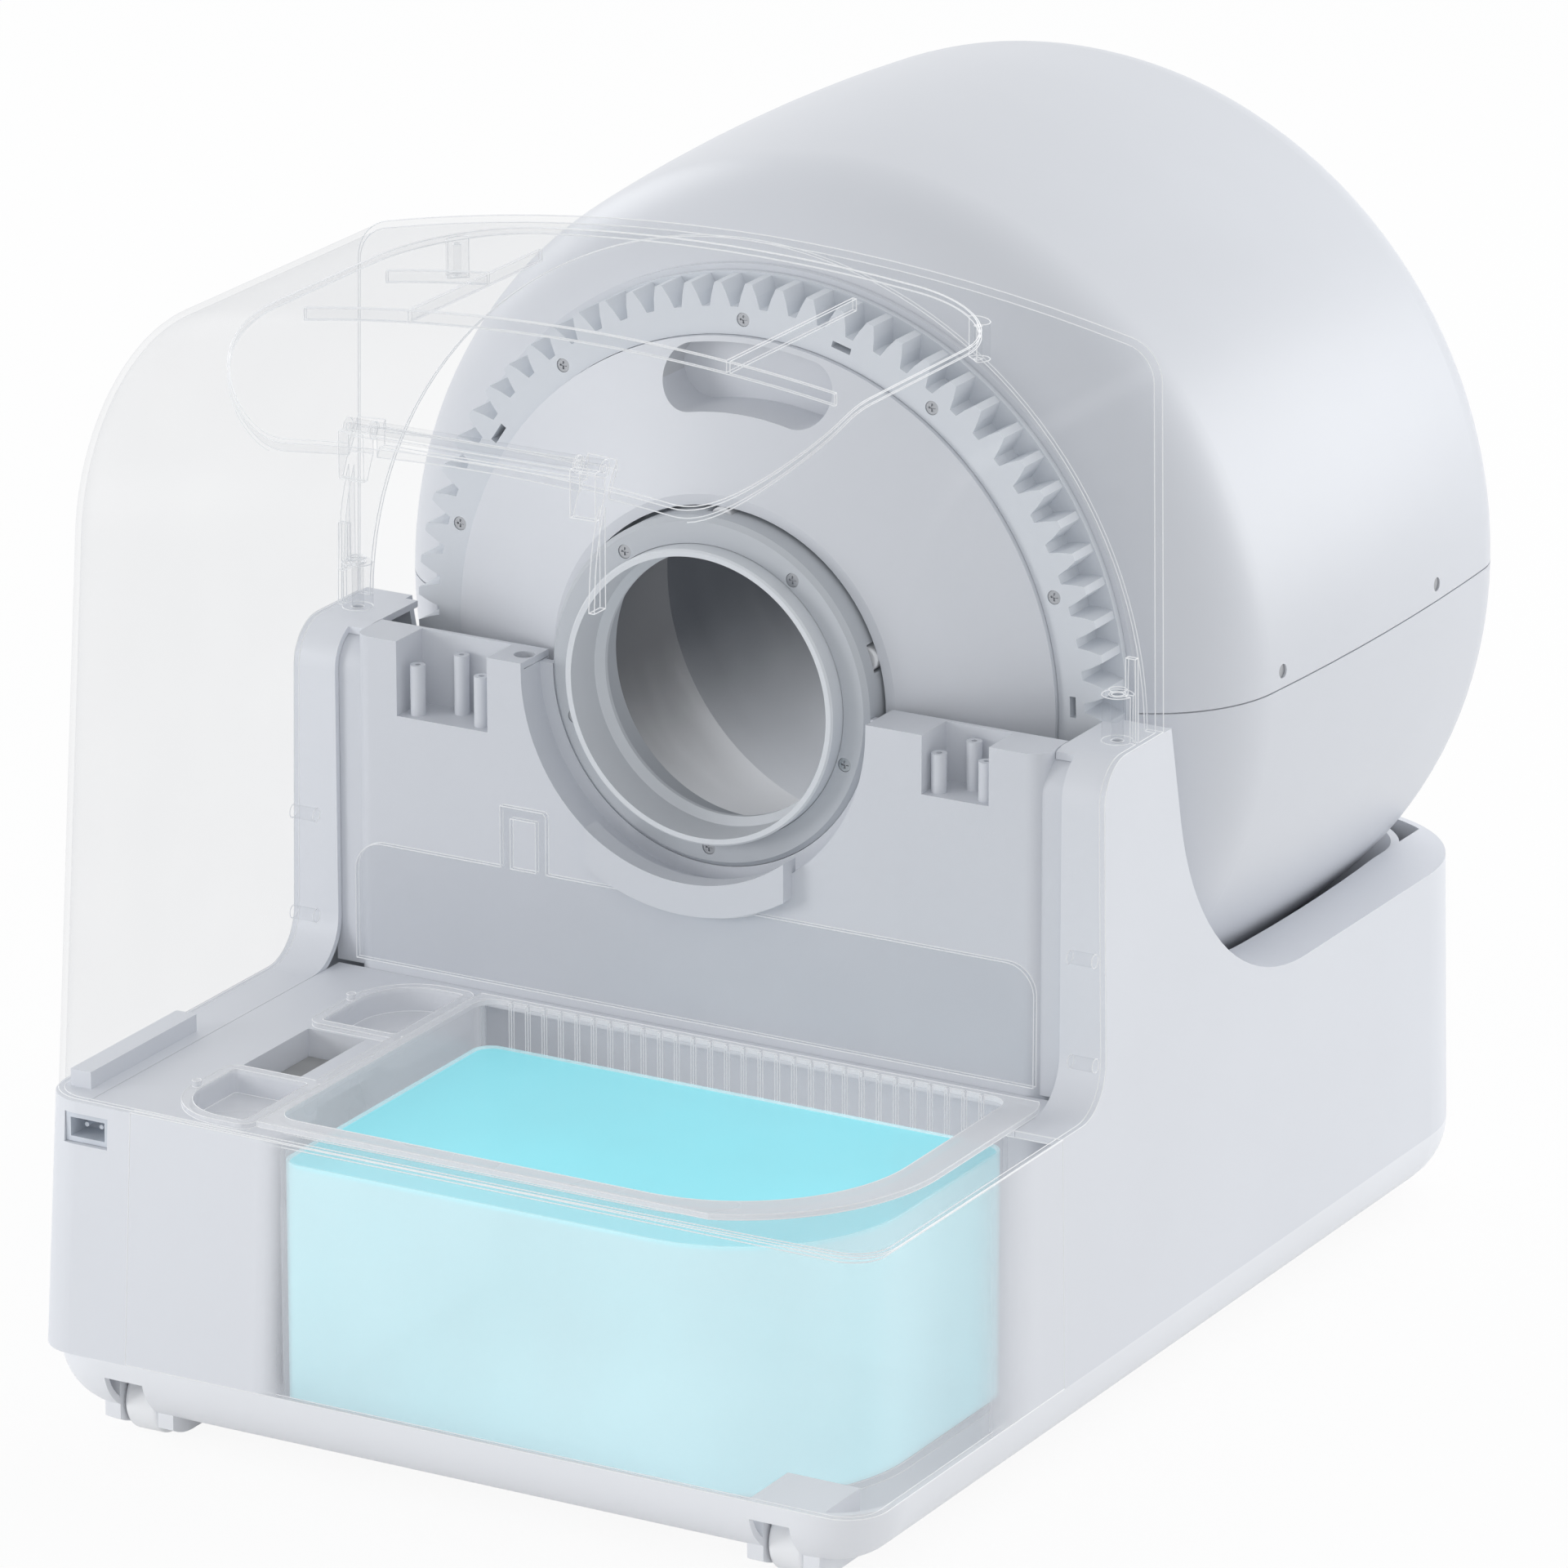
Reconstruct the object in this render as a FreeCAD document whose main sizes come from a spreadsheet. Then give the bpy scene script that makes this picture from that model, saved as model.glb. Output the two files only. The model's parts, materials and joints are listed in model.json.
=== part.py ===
import FreeCAD, Part
import Sketcher
import math
import operator
import os

doc = FreeCAD.newDocument("litter_box")

# Driving dimensions in millimetres. Heights are above the floor, and y places count from the front
# plane of the bull gear, towards the cat's entrance.
DRIVING = {
    # Overall body
    "axis_height": 354, "front_reach": 316, "rear_reach": 380, "half_width": 240, "side_lean": 0.016,
    "front_lean": 0.07, "rear_lean": 0.02, "pan_bottom": 12, "pan_top": 46, "pan_round": 33,
    "pan_corner": 40, "wall": 4, "skin": 3.5, "seam": 0.3, "deck_drop": 176, "post_rise": 4,
    "ledge_drop": 161, "corner_round": 22, "rear_corner": 80, "post_front": 66, "post_back": 4.6,
    "post_round": 22, "plate_round": 9,
    "post_inner": 211, "foot_round": 26, "swoop_round": 140, "swoop_mid": 152, "panel_left": 184,
    "panel_back": 112, "lip_outer": 231, "lip_wide": 12, "lip_near": 190, "lip_long": 98, "lip_high": 9,
    "post_screw_x": 221, "post_screw_y": 26.6, "post_screw": 3, "screw_grip": 8,
    # Power inlet and sensor recess
    "inlet_x": 210, "inlet_drop": 14, "inlet_wide": 26, "inlet_high": 16, "inlet_deep": 21.5,
    "inlet_set": 2.2, "inlet_wall": 3, "inlet_pin": 1.2, "inlet_pitch": 8.6, "sensor_x": 154.5,
    "sensor_y": 192.5, "sensor_wide": 34, "sensor_long": 67, "sensor_deep": 18, "sensor_thick": 3,
    "recess_wall": 2,
    # Drum
    "drum_radius": 253, "drum_wall": 3.5, "crown_radius": 1690, "crown_mid": 221, "front_round": 72,
    "front_round_mid": 94, "rear_round": 42, "drum_rear": 369.5, "drum_front": 28, "drum_gap": 6,
    "seam_gap": 0.8, "entrance_radius": 160, "entrance_lip": 12, "entrance_depth": 14,
    "entrance_rim": 10, "entrance_round": 3, "seam_screw_rise": 9, "seam_screw_front": 100,
    "seam_screw_rear": 268, "screw_head": 3.5, "screw_gap": 0.2, "screw_sunk": 0.5, "screw_tall": 2.5,
    "screw_long": 6, "sieve_rise": 134, "sieve_thick": 4, "sieve_front": 46, "sieve_long": 254,
    "sieve_half": 150, "sieve_slots": 9, "sieve_pitch": 26, "sieve_slot": 10, "chute_flare": 44,
    "chute_end": 120, "chute_wall": 3,
    # Bull gear and its ring
    "gear_module": 5.5, "gear_teeth": 71, "pinion_teeth": 17, "gear_face": 20, "gear_bore": 174,
    "gear_flange": 4, "flange_lip": 0.75, "backlash": 0.5, "mesh_slack": 0.4, "pinion_angle": 232,
    "ring_screws": 10, "ring_screw_in": 8, "ring_phase": 20.4, "ring_slots": 5, "slot_phase": 2.4,
    "slot_long": 11, "slot_wide": 3.4,
    # Drum end cap and hub
    "hub_bore": 94, "hub_wall": 5.5, "hub_front": 34, "hub_back": 4, "cap_wall": 4, "cap_rim": 3,
    "cap_skirt": 6, "spigot_gap": 0.3, "seat_gap": 0.2, "seat_lip": 3, "recess_radius": 154.5,
    "recess_half": 16.5, "recess_angle": 12, "recess_floor": 14, "cup_wall": 2.5,
    # Stationary collar, rollers and nozzle
    "collar_radius": 92, "collar_bore": 78, "collar_front": 49, "collar_back": 8, "collar_chamfer": 2.5,
    "collar_screws": 5, "collar_screw_radius": 82.6, "collar_phase": 54, "roller_phase": 18,
    "roller_radius": 6.5, "roller_width": 10, "roller_gap": 0.06, "roller_front": 36, "roller_round": 1,
    "pin_radius": 2, "pin_grip": 12, "run_gap": 0.06, "pocket_gap": 0.9, "nozzle_gap": 0.3,
    "nozzle_wall": 3.7, "nozzle_front": 60, "nozzle_back": 30, "nozzle_lip": 4, "nozzle_sill": 2.5,
    # Bulkhead and splash guard
    "bulkhead_depth": 28, "bulkhead_half": 199.7, "bulkhead_gap": 0.5, "saddle_radius": 100,
    "saddle_gap": 0.3, "saddle_front": 47, "saddle_width": 5, "groove_overlap": 3, "chin_radius": 111,
    "chin_half": 58, "chin_drop": 60, "chin_reach": 9, "chin_lap": 6, "pocket_wall": 2.5,
    "left_pocket_mid": 147, "left_pocket_half": 27, "left_pocket_deep": 40, "right_pocket_mid": 151,
    "right_pocket_half": 19, "right_pocket_deep": 31, "boss_radius": 4, "boss_hole": 1.5,
    "boss_rise": 28, "boss_step": 5, "boss_front": 8, "boss_back": 20, "boss_pitch": 19, "stay_x": 106,
    "stay_y": 52, "stay_hole": 5.5, "stay_deep": 9, "guard_half": 198, "guard_thick": 3,
    "guard_drop": 106, "guard_low": 6, "guard_round": 16, "tab_mid": 97.5, "tab_wide": 27,
    "tab_high": 33, "tab_frame": 6,
    # Service cover and lid
    "cover_rise": 229, "cover_crown": 1000, "cover_round": 100, "cover_wall": 3, "cover_rear": 4,
    "cover_gap": 0.5, "cover_ring_gap": 24.5, "cover_boss": 8, "cover_boss_high": 24, "cover_web": 3,
    "cover_web_high": 44, "top_boss_x": 149.6, "top_boss_y": 42, "top_boss": 6, "top_boss_high": 34,
    "top_boss_hole": 2, "peg_radius": 3.5, "peg_in": 14, "peg_low_rise": 25.5, "peg_high_rise": 80.5,
    "peg_front": 6, "lid_half": 168, "lid_rear": 30, "lid_corner": 60, "lid_gap": 1, "lid_deep": 60,
    "hinge_angle": 145.9, "hinge_lift": 5.2, "hinge_set": 2, "hinge_web": 7, "knuckle": 4.5,
    "knuckle_half": 57, "knuckle_long": 14, "knuckle_gap": 1, "knuckle_base": 24, "lid_rib": 6,
    "lid_rib_thick": 2, "lid_rib_x": 90, "lid_rib_front": 186, "lid_rib_rear": 109, "lid_rib_half": 150,
    "gusset_low": 111, "gusset_high": 48,
    # Waste bin, liner and accessory tray
    "bin_left": -116, "bin_right": 195, "bin_front": 285, "bin_back": 79, "bin_bottom": 23,
    "bin_wall": 2.5, "bin_corner": 95, "bin_small_corner": 14, "rim_reach": 15.5, "rim_front": 8,
    "rim_left": 2, "rim_back": 1.5, "rim_thick": 2.7, "rest_gap": 0.3, "bin_gap": 1.5, "rib_count": 29,
    "rib_thick": 1.4, "rib_reach": 2.4, "rib_drop": 60, "liner_gap": 0.4, "liner_wall": 1.2,
    "liner_drop": 21, "tray_left": -172, "tray_right": -121, "tray_gap": 0.1, "tray_wall": 2,
    "tray_flange": 2, "well_gap": 0.5, "well_depth": 12, "well_corner": 6, "well_round": 34,
    "well_front_near": 230, "well_front_far": 298, "well_back_near": 80, "well_back_far": 155,
    "tray_peg": 2.4, "tray_peg_high": 3, "tray_bridge": 5,
    # Running gear and feet
    "wheel_radius": 17.5, "wheel_width": 20, "wheel_x": 186, "wheel_y": 282, "wheel_round": 3,
    "axle_radius": 3, "axle_grip": 8, "side_gap": 1.2, "cheek": 9, "cheek_bottom": 4, "arch_wall": 3,
    "foot_radius": 12, "foot_taper": 2, "foot_x": 186, "foot_front": 92, "foot_rear": 285,
    "cradle_radius": 12, "cradle_width": 14, "cradle_y": 291, "cradle_angle": 60, "cradle_gap": 0.35,
    "cradle_ear": 5.2, "cradle_side": 0.8, "cradle_ear_rise": 4, "window_half": 18, "window_end": 9,
    # Drive, control board and fan
    "gearbox_radius": 18.5, "motor_radius": 16.5, "motor_front": 58, "gearbox_front": 31,
    "motor_boss": 8.5, "motor_boss_long": 3, "bracket_back": 1.8, "plate": 3, "bracket_half": 45,
    "bracket_up": 37, "bracket_hole": 8, "standoff": 5, "standoff_in": 7, "shaft_radius": 4,
    "shaft_in": 15, "tooth_inset": 1, "board_x": 95, "board_z": 100, "board_wide": 110,
    "board_high": 80, "board_thick": 1.6, "board_stand": 6, "board_post": 3, "board_post_in": 6,
    "chip_wide": 28, "chip_high": 24, "chip_thick": 6, "fan_size": 80, "fan_depth": 20, "fan_y": 195,
    "fan_z": 72, "fan_x": -142, "rotor_radius": 36, "fan_hub": 14, "fan_blades": 7, "fan_gap": 1.5,
    "fan_plate": 3, "fan_spoke": 6, "fan_pin": 2, "blade_thick": 2,
}

sheet = doc.addObject("Spreadsheet::Sheet", "dims")
for row, (alias, number) in enumerate(DRIVING.items(), start=1):
    sheet.set(f"A{row}", alias)
    sheet.set(f"B{row}", str(number))
    sheet.setAlias(f"B{row}", alias)
doc.recompute()

OPERATIONS = {"+": operator.add, "-": operator.sub, "*": operator.mul, "/": operator.truediv}


class Size:
    """A length that carries its number and the spreadsheet formula that gives it."""

    def __init__(self, value, text):
        self.value = value
        self.text = text

    def __add__(self, other):
        return combine(self, "+", other)

    def __radd__(self, other):
        return combine(other, "+", self)

    def __sub__(self, other):
        return combine(self, "-", other)

    def __rsub__(self, other):
        return combine(other, "-", self)

    def __mul__(self, other):
        return combine(self, "*", other)

    def __rmul__(self, other):
        return combine(other, "*", self)

    def __truediv__(self, other):
        return combine(self, "/", other)

    def __neg__(self):
        return combine(0, "-", self)


def as_size(number):
    return number if isinstance(number, Size) else Size(number, repr(float(number)))


def combine(left, sign, right):
    left = as_size(left)
    right = as_size(right)
    value = OPERATIONS[sign](left.value, right.value)
    return Size(value, f"({left.text} {sign} {right.text})")


def root(length):
    return Size(math.sqrt(length.value), f"sqrt({length.text})")


class Dims:
    """Every driving dimension as a Size, by its alias."""


for alias, number in DRIVING.items():
    setattr(Dims, alias, Size(number, f"dims.{alias}"))
D = Dims

# The gear plane's place in the part's own frame, whose origin is under the middle of the footprint.
GEAR_Y = (D.front_reach - D.rear_reach) / 2
AXIS = D.axis_height
BIG = D.rear_reach * 2
# Overshoot of a cutting tool past the face that it opens.
PAST = 1
DECK = AXIS - D.deck_drop
DECK_UNDER = DECK - D.skin
LEDGE = AXIS - D.ledge_drop
GUARD_TOP = AXIS - D.guard_drop
INLET_Z = DECK - D.inlet_drop
PAN_FLOOR = D.pan_bottom + D.skin
POST_TOP = AXIS + D.post_rise
COVER_TOP = AXIS + D.cover_rise
LEDGE_INNER = D.bulkhead_half + D.bulkhead_gap
PITCH_RADIUS = D.gear_module * D.gear_teeth / 2
FLANGE_RADIUS = PITCH_RADIUS + D.gear_module + D.flange_lip

nodes = []
counter = [0]


def fresh(kind, hint):
    counter[0] += 1
    return doc.addObject(kind, f"{hint}_{counter[0]}")


def place(shape, x, y, z, turn=None):
    if turn:
        axis, angle = turn
        shape.Placement = FreeCAD.Placement(FreeCAD.Vector(), FreeCAD.Rotation(FreeCAD.Vector(*axis), angle))
    for letter, length in zip("xyz", (x, GEAR_Y + y, z)):
        shape.setExpression(f"Placement.Base.{letter}", as_size(length).text)
    return shape


def bind(shape, **lengths):
    for name, length in lengths.items():
        shape.setExpression(name, as_size(length).text)


def box(x, y, z):
    """A block from three (low, high) pairs."""
    block = fresh("Part::Box", "block")
    bind(block, Length=as_size(x[1]) - x[0], Width=as_size(y[1]) - y[0], Height=as_size(z[1]) - z[0])
    return place(block, x[0], y[0], z[0])


TURNS = {"x": ((0, 1, 0), 90), "y": ((1, 0, 0), -90), "z": None}


def along(axis, centre, low):
    """The start point of a round solid whose axis runs along x, y or z."""
    first, second = centre
    return {"x": (low, first, second), "y": (first, low, second), "z": (first, second, low)}[axis]


def cylinder(axis, centre, span, radius):
    rod = fresh("Part::Cylinder", "rod")
    bind(rod, Radius=radius, Height=as_size(span[1]) - span[0])
    return place(rod, *along(axis, centre, span[0]), TURNS[axis])


def cone(axis, centre, span, low_radius, high_radius):
    taper = fresh("Part::Cone", "taper")
    bind(taper, Radius1=low_radius, Radius2=high_radius, Height=as_size(span[1]) - span[0])
    return place(taper, *along(axis, centre, span[0]), TURNS[axis])


def fuse(*shapes):
    joined = fresh("Part::MultiFuse", "joined")
    joined.Shapes = list(shapes)
    joined.Refine = True
    return joined


def cut(base, *tools):
    trimmed = fresh("Part::Cut", "trimmed")
    trimmed.Base = base
    trimmed.Tool = tools[0] if len(tools) == 1 else fuse(*tools)
    return trimmed


def common(*shapes):
    shared = fresh("Part::MultiCommon", "shared")
    shared.Shapes = list(shapes)
    return shared


def ring(axis, centre, span, outer, inner):
    return cut(cylinder(axis, centre, span, outer), cylinder(axis, centre, span, inner))


def group(*shapes):
    gathered = fresh("Part::Compound", "gathered")
    gathered.Links = list(shapes)
    return gathered


def fillet(base, choose):
    """Rounds the edges for which choose gives a radius."""
    doc.recompute()
    rounded = fresh("Part::Fillet", "rounded")
    rounded.Base = base
    radii = [choose(edge) for edge in base.Shape.Edges]
    rounded.Edges = [(i, r.value, r.value) for i, r in enumerate(radii, start=1) if r is not None]
    return rounded


def upright(edge):
    """Edges that climb: they are mostly vertical."""
    first, last = edge.Vertexes[0].Point, edge.Vertexes[-1].Point
    return abs(last.z - first.z) > 0.8 * (last - first).Length > 0


def node(label, shape):
    shape.Label = label
    nodes.append(shape)
    return shape


def feature(hint, shape, x=0, y=0, z=0):
    """A solid made by a formula, held by the document."""
    made = fresh("Part::Feature", hint)
    made.Shape = shape
    return place(made, x, y, z)


def lathe(points, x=0, z=AXIS):
    """A body turned about an axis along y, from (radius, y) corners."""
    body = fresh("PartDesign::Body", "turned")
    profile = body.newObject("Sketcher::SketchObject", f"{body.Name}_profile")
    plane = [item for item in body.Origin.OriginFeatures if item.Role == "XY_Plane"][0]
    profile.AttachmentSupport = [(plane, "")]
    profile.MapMode = "FlatFace"
    corners = [(as_size(radius), as_size(y)) for radius, y in points]
    count = len(corners)
    for index, (radius, y) in enumerate(corners):
        after = corners[(index + 1) % count]
        start = FreeCAD.Vector(radius.value, y.value, 0)
        finish = FreeCAD.Vector(after[0].value, after[1].value, 0)
        profile.addGeometry(Part.LineSegment(start, finish), False)
    for index in range(count):
        profile.addConstraint(Sketcher.Constraint("Coincident", index, 2, (index + 1) % count, 1))
    for index, corner in enumerate(corners):
        for letter, kind, length in zip("ry", ("DistanceX", "DistanceY"), corner):
            made = profile.addConstraint(Sketcher.Constraint(kind, -1, 1, index, 1, length.value))
            profile.renameConstraint(made, f"{letter}{index}")
            profile.setExpression(f"Constraints.{letter}{index}", length.text)
    turned = body.newObject("PartDesign::Revolution", f"{body.Name}_turn")
    turned.Profile = profile
    turned.ReferenceAxis = (profile, ["V_Axis"])
    turned.Angle = 360
    return place(body, x, 0, z)


def polar(radius, degrees):
    """The x and z of a point about the drum's axis."""
    angle = math.radians(degrees)
    return radius * math.cos(angle), AXIS + radius * math.sin(angle)


def evenly(count, phase):
    steps = int(count.value)
    return [phase.value + 360.0 * index / steps for index in range(steps)]


# Outer body: four leaning sides shared by the base, the front panel and the cover.
def half_at(z):
    return D.half_width - D.side_lean * (z - D.pan_top)


def front_at(z):
    return D.front_lean * (z - D.pan_top) - D.front_reach


def rear_at(z):
    return D.rear_reach - D.rear_lean * (z - D.pan_top)


def leaning_block(low, high, inset=0):
    """A block with leaning sides and rounded corners, drawn in by the inset."""
    block = fresh("Part::Wedge", "leaning")
    bind(block, Ymin=low, Ymax=high)
    bind(block, Xmin=inset - half_at(low), Xmax=half_at(low) - inset)
    bind(block, X2min=inset - half_at(high), X2max=half_at(high) - inset)
    bind(block, Zmin=inset - rear_at(low), Zmax=-front_at(low) - inset)
    bind(block, Z2min=inset - rear_at(high), Z2max=-front_at(high) - inset)
    place(block, 0, 0, 0, ((1, 0, 0), 90))

    def corner(edge):
        if not upright(edge):
            return None
        return D.corner_round - inset if edge.CenterOfMass.y < 0 else D.rear_corner - inset

    return fillet(block, corner)


def arc(first, middle, last):
    return Part.Arc(first, middle, last).toShape()


def under_contour(lift):
    """Everything below the body's side outline: deck, post, swoop and ledge, raised by the lift."""
    deck = DECK.value + lift
    post = -D.post_front.value - lift
    top = POST_TOP.value + lift
    ledge = LEDGE.value + lift
    far = BIG.value
    foot = D.foot_round.value
    foot_y = -D.post_front.value - foot
    foot_z = DECK.value + foot
    swoop = D.swoop_round.value - lift
    swoop_y = D.swoop_mid.value
    swoop_z = LEDGE.value + D.swoop_round.value
    brow = D.post_round.value
    brow_y = brow - D.post_front.value
    brow_z = POST_TOP.value - brow
    heel = (D.post_back.value + lift, top)
    reach = math.hypot(heel[0] - swoop_y, heel[1] - swoop_z)
    start = math.atan2(heel[1] - swoop_z, heel[0] - swoop_y) + math.acos(swoop / reach)

    def spot(y, z):
        return FreeCAD.Vector(-far, y, z)

    def on_swoop(angle):
        return spot(swoop_y + swoop * math.cos(angle), swoop_z + swoop * math.sin(angle))

    def on_foot(angle):
        return spot(foot_y + (foot - lift) * math.cos(angle), foot_z + (foot - lift) * math.sin(angle))

    def on_brow(angle):
        return spot(brow_y + (brow + lift) * math.cos(angle), brow_z + (brow + lift) * math.sin(angle))

    down = 1.5 * math.pi
    corners = [spot(foot_y, deck), spot(-far, deck), spot(-far, -far), spot(far, -far), spot(far, ledge),
               spot(swoop_y, ledge)]
    edges = [Part.makeLine(a, b) for a, b in zip(corners, corners[1:])]
    edges.append(arc(on_swoop(down), on_swoop((down + start) / 2), on_swoop(start)))
    edges.append(Part.makeLine(on_swoop(start), spot(*heel)))
    edges.append(Part.makeLine(spot(*heel), on_brow(math.pi / 2)))
    edges.append(arc(on_brow(math.pi / 2), on_brow(0.75 * math.pi), on_brow(math.pi)))
    edges.append(Part.makeLine(on_brow(math.pi), spot(post, foot_z)))
    edges.append(arc(on_foot(0), on_foot(-math.pi / 4), on_foot(-math.pi / 2)))
    face = Part.Face(Part.Wire(Part.__sortEdges__(edges)))
    return feature("outline", face.extrude(FreeCAD.Vector(2 * far, 0, 0)))


def drum_solid(offset, front):
    """The drum's barrel grown by the offset: a crown arc with a rounded shoulder at each end."""
    crown = D.crown_radius.value
    crown_y = D.crown_mid.value
    crown_r = D.drum_radius.value - crown

    def shoulder(y, size):
        return crown_r + math.sqrt((crown - size) ** 2 - (y - crown_y) ** 2)

    front_size, front_y = D.front_round.value, D.front_round_mid.value
    rear_size = D.rear_round.value
    rear_y = D.drum_rear.value - rear_size
    front_r = shoulder(front_y, front_size)
    rear_r = shoulder(rear_y, rear_size)

    def touch(y, r):
        """Where a shoulder arc meets the crown."""
        away = math.hypot(y - crown_y, r - crown_r)
        grow = (crown + offset) / away
        return FreeCAD.Vector(crown_r + (r - crown_r) * grow, crown_y + (y - crown_y) * grow, 0)

    def on_arc(y, r, size, angle):
        return FreeCAD.Vector(r + size * math.cos(angle), y + size * math.sin(angle), 0)

    def angle_of(point, y, r):
        return math.atan2(point.y - y, point.x - r)

    first = touch(front_y, front_r)
    last = touch(rear_y, rear_r)
    front_size += offset
    rear_size += offset
    start = -math.asin(min(1.0, (front_y - front) / front_size))
    begin = on_arc(front_y, front_r, front_size, start)
    end = on_arc(rear_y, rear_r, rear_size, math.pi / 2)
    front_middle = on_arc(front_y, front_r, front_size, (start + angle_of(first, front_y, front_r)) / 2)
    rear_middle = on_arc(rear_y, rear_r, rear_size, (math.pi / 2 + angle_of(last, rear_y, rear_r)) / 2)
    apex = FreeCAD.Vector(crown_r + crown + offset, crown_y, 0)
    inner_front = FreeCAD.Vector(0, begin.y, 0)
    inner_rear = FreeCAD.Vector(0, end.y, 0)
    edges = [Part.makeLine(inner_front, begin), arc(begin, front_middle, first), arc(first, apex, last),
             arc(last, rear_middle, end), Part.makeLine(end, inner_rear),
             Part.makeLine(inner_rear, inner_front)]
    face = Part.Face(Part.Wire(edges))
    barrel = face.revolve(FreeCAD.Vector(), FreeCAD.Vector(0, 1, 0), 360)
    return feature("barrel", barrel, z=AXIS)


def gear_blank(teeth, face_from, face_to, steps, x=0, z=AXIS, phase=0.0):
    """A spur gear with involute flanks, each drawn with a few straight steps."""
    module = D.gear_module.value
    count = int(teeth.value)
    pitch_r = module * count / 2
    base_r = pitch_r * math.cos(math.radians(20))
    root_r = pitch_r - 1.25 * module
    tip_r = pitch_r + module

    def involute(radius):
        slant = math.acos(min(1.0, base_r / radius))
        return math.tan(slant) - slant

    half_pitch = (math.pi * module / 2 - D.backlash.value / 2) / (2 * pitch_r) + involute(pitch_r)
    radii = [root_r + (tip_r - root_r) * step / steps for step in range(steps + 1)]
    flank = [(radius, half_pitch - involute(radius)) for radius in radii]
    tooth = [(radius, -angle) for radius, angle in flank] + flank[::-1]
    points = []
    for index in range(count):
        middle = math.radians(phase) + 2 * math.pi * index / count
        for radius, angle in tooth:
            turn = middle + angle
            points.append(FreeCAD.Vector(radius * math.cos(turn), 0, radius * math.sin(turn)))
    face = Part.Face(Part.makePolygon(points + points[:1]))
    width = as_size(face_to).value - as_size(face_from).value
    return feature("gear", face.extrude(FreeCAD.Vector(0, width, 0)), x, face_from, z)


# Base: shell, pan, front panel, deck and drum tray.
def body_walls(low, high):
    return cut(leaning_block(low, high), leaning_block(low - PAST, high + PAST, D.wall))


def mirrored(make):
    """The same piece made on the left and on the right."""
    return [make(side) for side in (-1, 1)]


def across(side, near, far):
    """An x range on one side, from its distances to the middle."""
    return (near, far) if side > 0 else (-as_size(far), -as_size(near))


def centred(middle, width):
    return middle - width / 2, middle + width / 2


def drum_room():
    return fuse(drum_solid(D.drum_gap.value, D.drum_front.value),
                cylinder("y", (0, AXIS), (-D.bracket_back, D.front_round_mid), FLANGE_RADIUS + D.drum_gap))


def post_screw_place(side):
    return side * D.post_screw_x, -D.post_screw_y


def base_shell():
    walls = common(body_walls(D.pan_top, POST_TOP + PAST), under_contour(0))
    post_core = -D.post_front + D.bulkhead_depth / 2
    skin = cut(common(leaning_block(D.pan_top, POST_TOP + PAST, D.wall / 2), under_contour(0)),
               under_contour(-D.skin.value),
               box((-LEDGE_INNER, LEDGE_INNER), (-BIG, BIG), (0, BIG)),
               *mirrored(lambda side: box(across(side, LEDGE_INNER - PAST, D.post_inner),
                                          (-BIG, post_core), (0, BIG))))
    lip = box(across(-1, D.lip_outer - D.lip_wide, D.lip_outer), (-D.lip_near - D.lip_long, -D.lip_near),
              (DECK_UNDER, DECK + D.lip_high))
    opening = box((-D.panel_left, BIG), (-BIG, -D.panel_back), (0, DECK + PAST))
    port = box(centred(-D.inlet_x, D.inlet_wide), (-BIG, inlet_front() + D.inlet_deep),
               centred(INLET_Z, D.inlet_high))
    holes = mirrored(lambda side: cylinder("z", post_screw_place(side), (DECK, BIG),
                                           D.post_screw + D.screw_gap))
    return node("base_shell", cut(fuse(walls, skin, lip), drum_room(), opening, port, *holes))


def front_panel():
    back = -D.panel_back - D.seam
    zone = box((D.seam - D.panel_left, BIG), (-BIG, back), (D.pan_top + D.seam, DECK))
    ledge = common(leaning_block(DECK_UNDER, DECK, D.wall / 2),
                   box((deck_edge(), BIG), (-BIG, back), (DECK_UNDER, DECK)))
    walls = body_walls(D.pan_top, DECK + PAST)
    return node("front_panel", cut(fuse(common(walls, zone), ledge), bin_block(D.bin_gap, D.pan_top, BIG)))


def deck_edge():
    """Where the deck's left plate ends beside the bin."""
    return D.bin_left - D.bin_gap - D.rim_left


def pan_block(inset, low, high):
    block = box((inset - D.half_width, D.half_width - inset),
                (inset - D.front_reach, D.rear_reach - inset), (low, high))

    def corner(edge):
        if not upright(edge):
            return None
        return (D.pan_corner if edge.CenterOfMass.y < 0 else D.rear_corner) - inset

    tall = fillet(block, corner)
    bottom = low.value
    return fillet(tall, lambda edge: D.pan_round - inset if edge.BoundBox.ZMax < bottom + 0.01 else None)


def bottom_pan():
    shell = cut(pan_block(0, D.pan_bottom, D.pan_top), pan_block(D.skin, PAN_FLOOR, D.pan_top + D.pan_round))
    reach = D.wheel_radius + D.side_gap
    high = 2 * D.wheel_radius + D.side_gap + D.seam
    half = D.wheel_width / 2 + D.side_gap
    blocks = []
    slots = []
    for side in (-1, 1):
        middle = side * D.wheel_x
        blocks.append(box((middle - half - D.cheek, middle + half + D.cheek),
                          (-D.wheel_y - reach, D.arch_wall + reach - D.wheel_y),
                          (D.cheek_bottom, high + D.arch_wall)))
        slots.append(box((middle - half, middle + half), (-BIG, reach - D.wheel_y), (0, high)))
        slots.append(cylinder("x", (-D.wheel_y, D.wheel_radius), axle_span(middle), D.axle_radius))
    block = common(fuse(*blocks), pan_block(0, D.cheek_bottom, D.pan_top))
    return node("bottom_pan", cut(fuse(shell, block), *slots))


def axle_span(middle):
    half = D.wheel_width / 2 + D.side_gap + D.axle_grip
    return middle - half, middle + half


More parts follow.
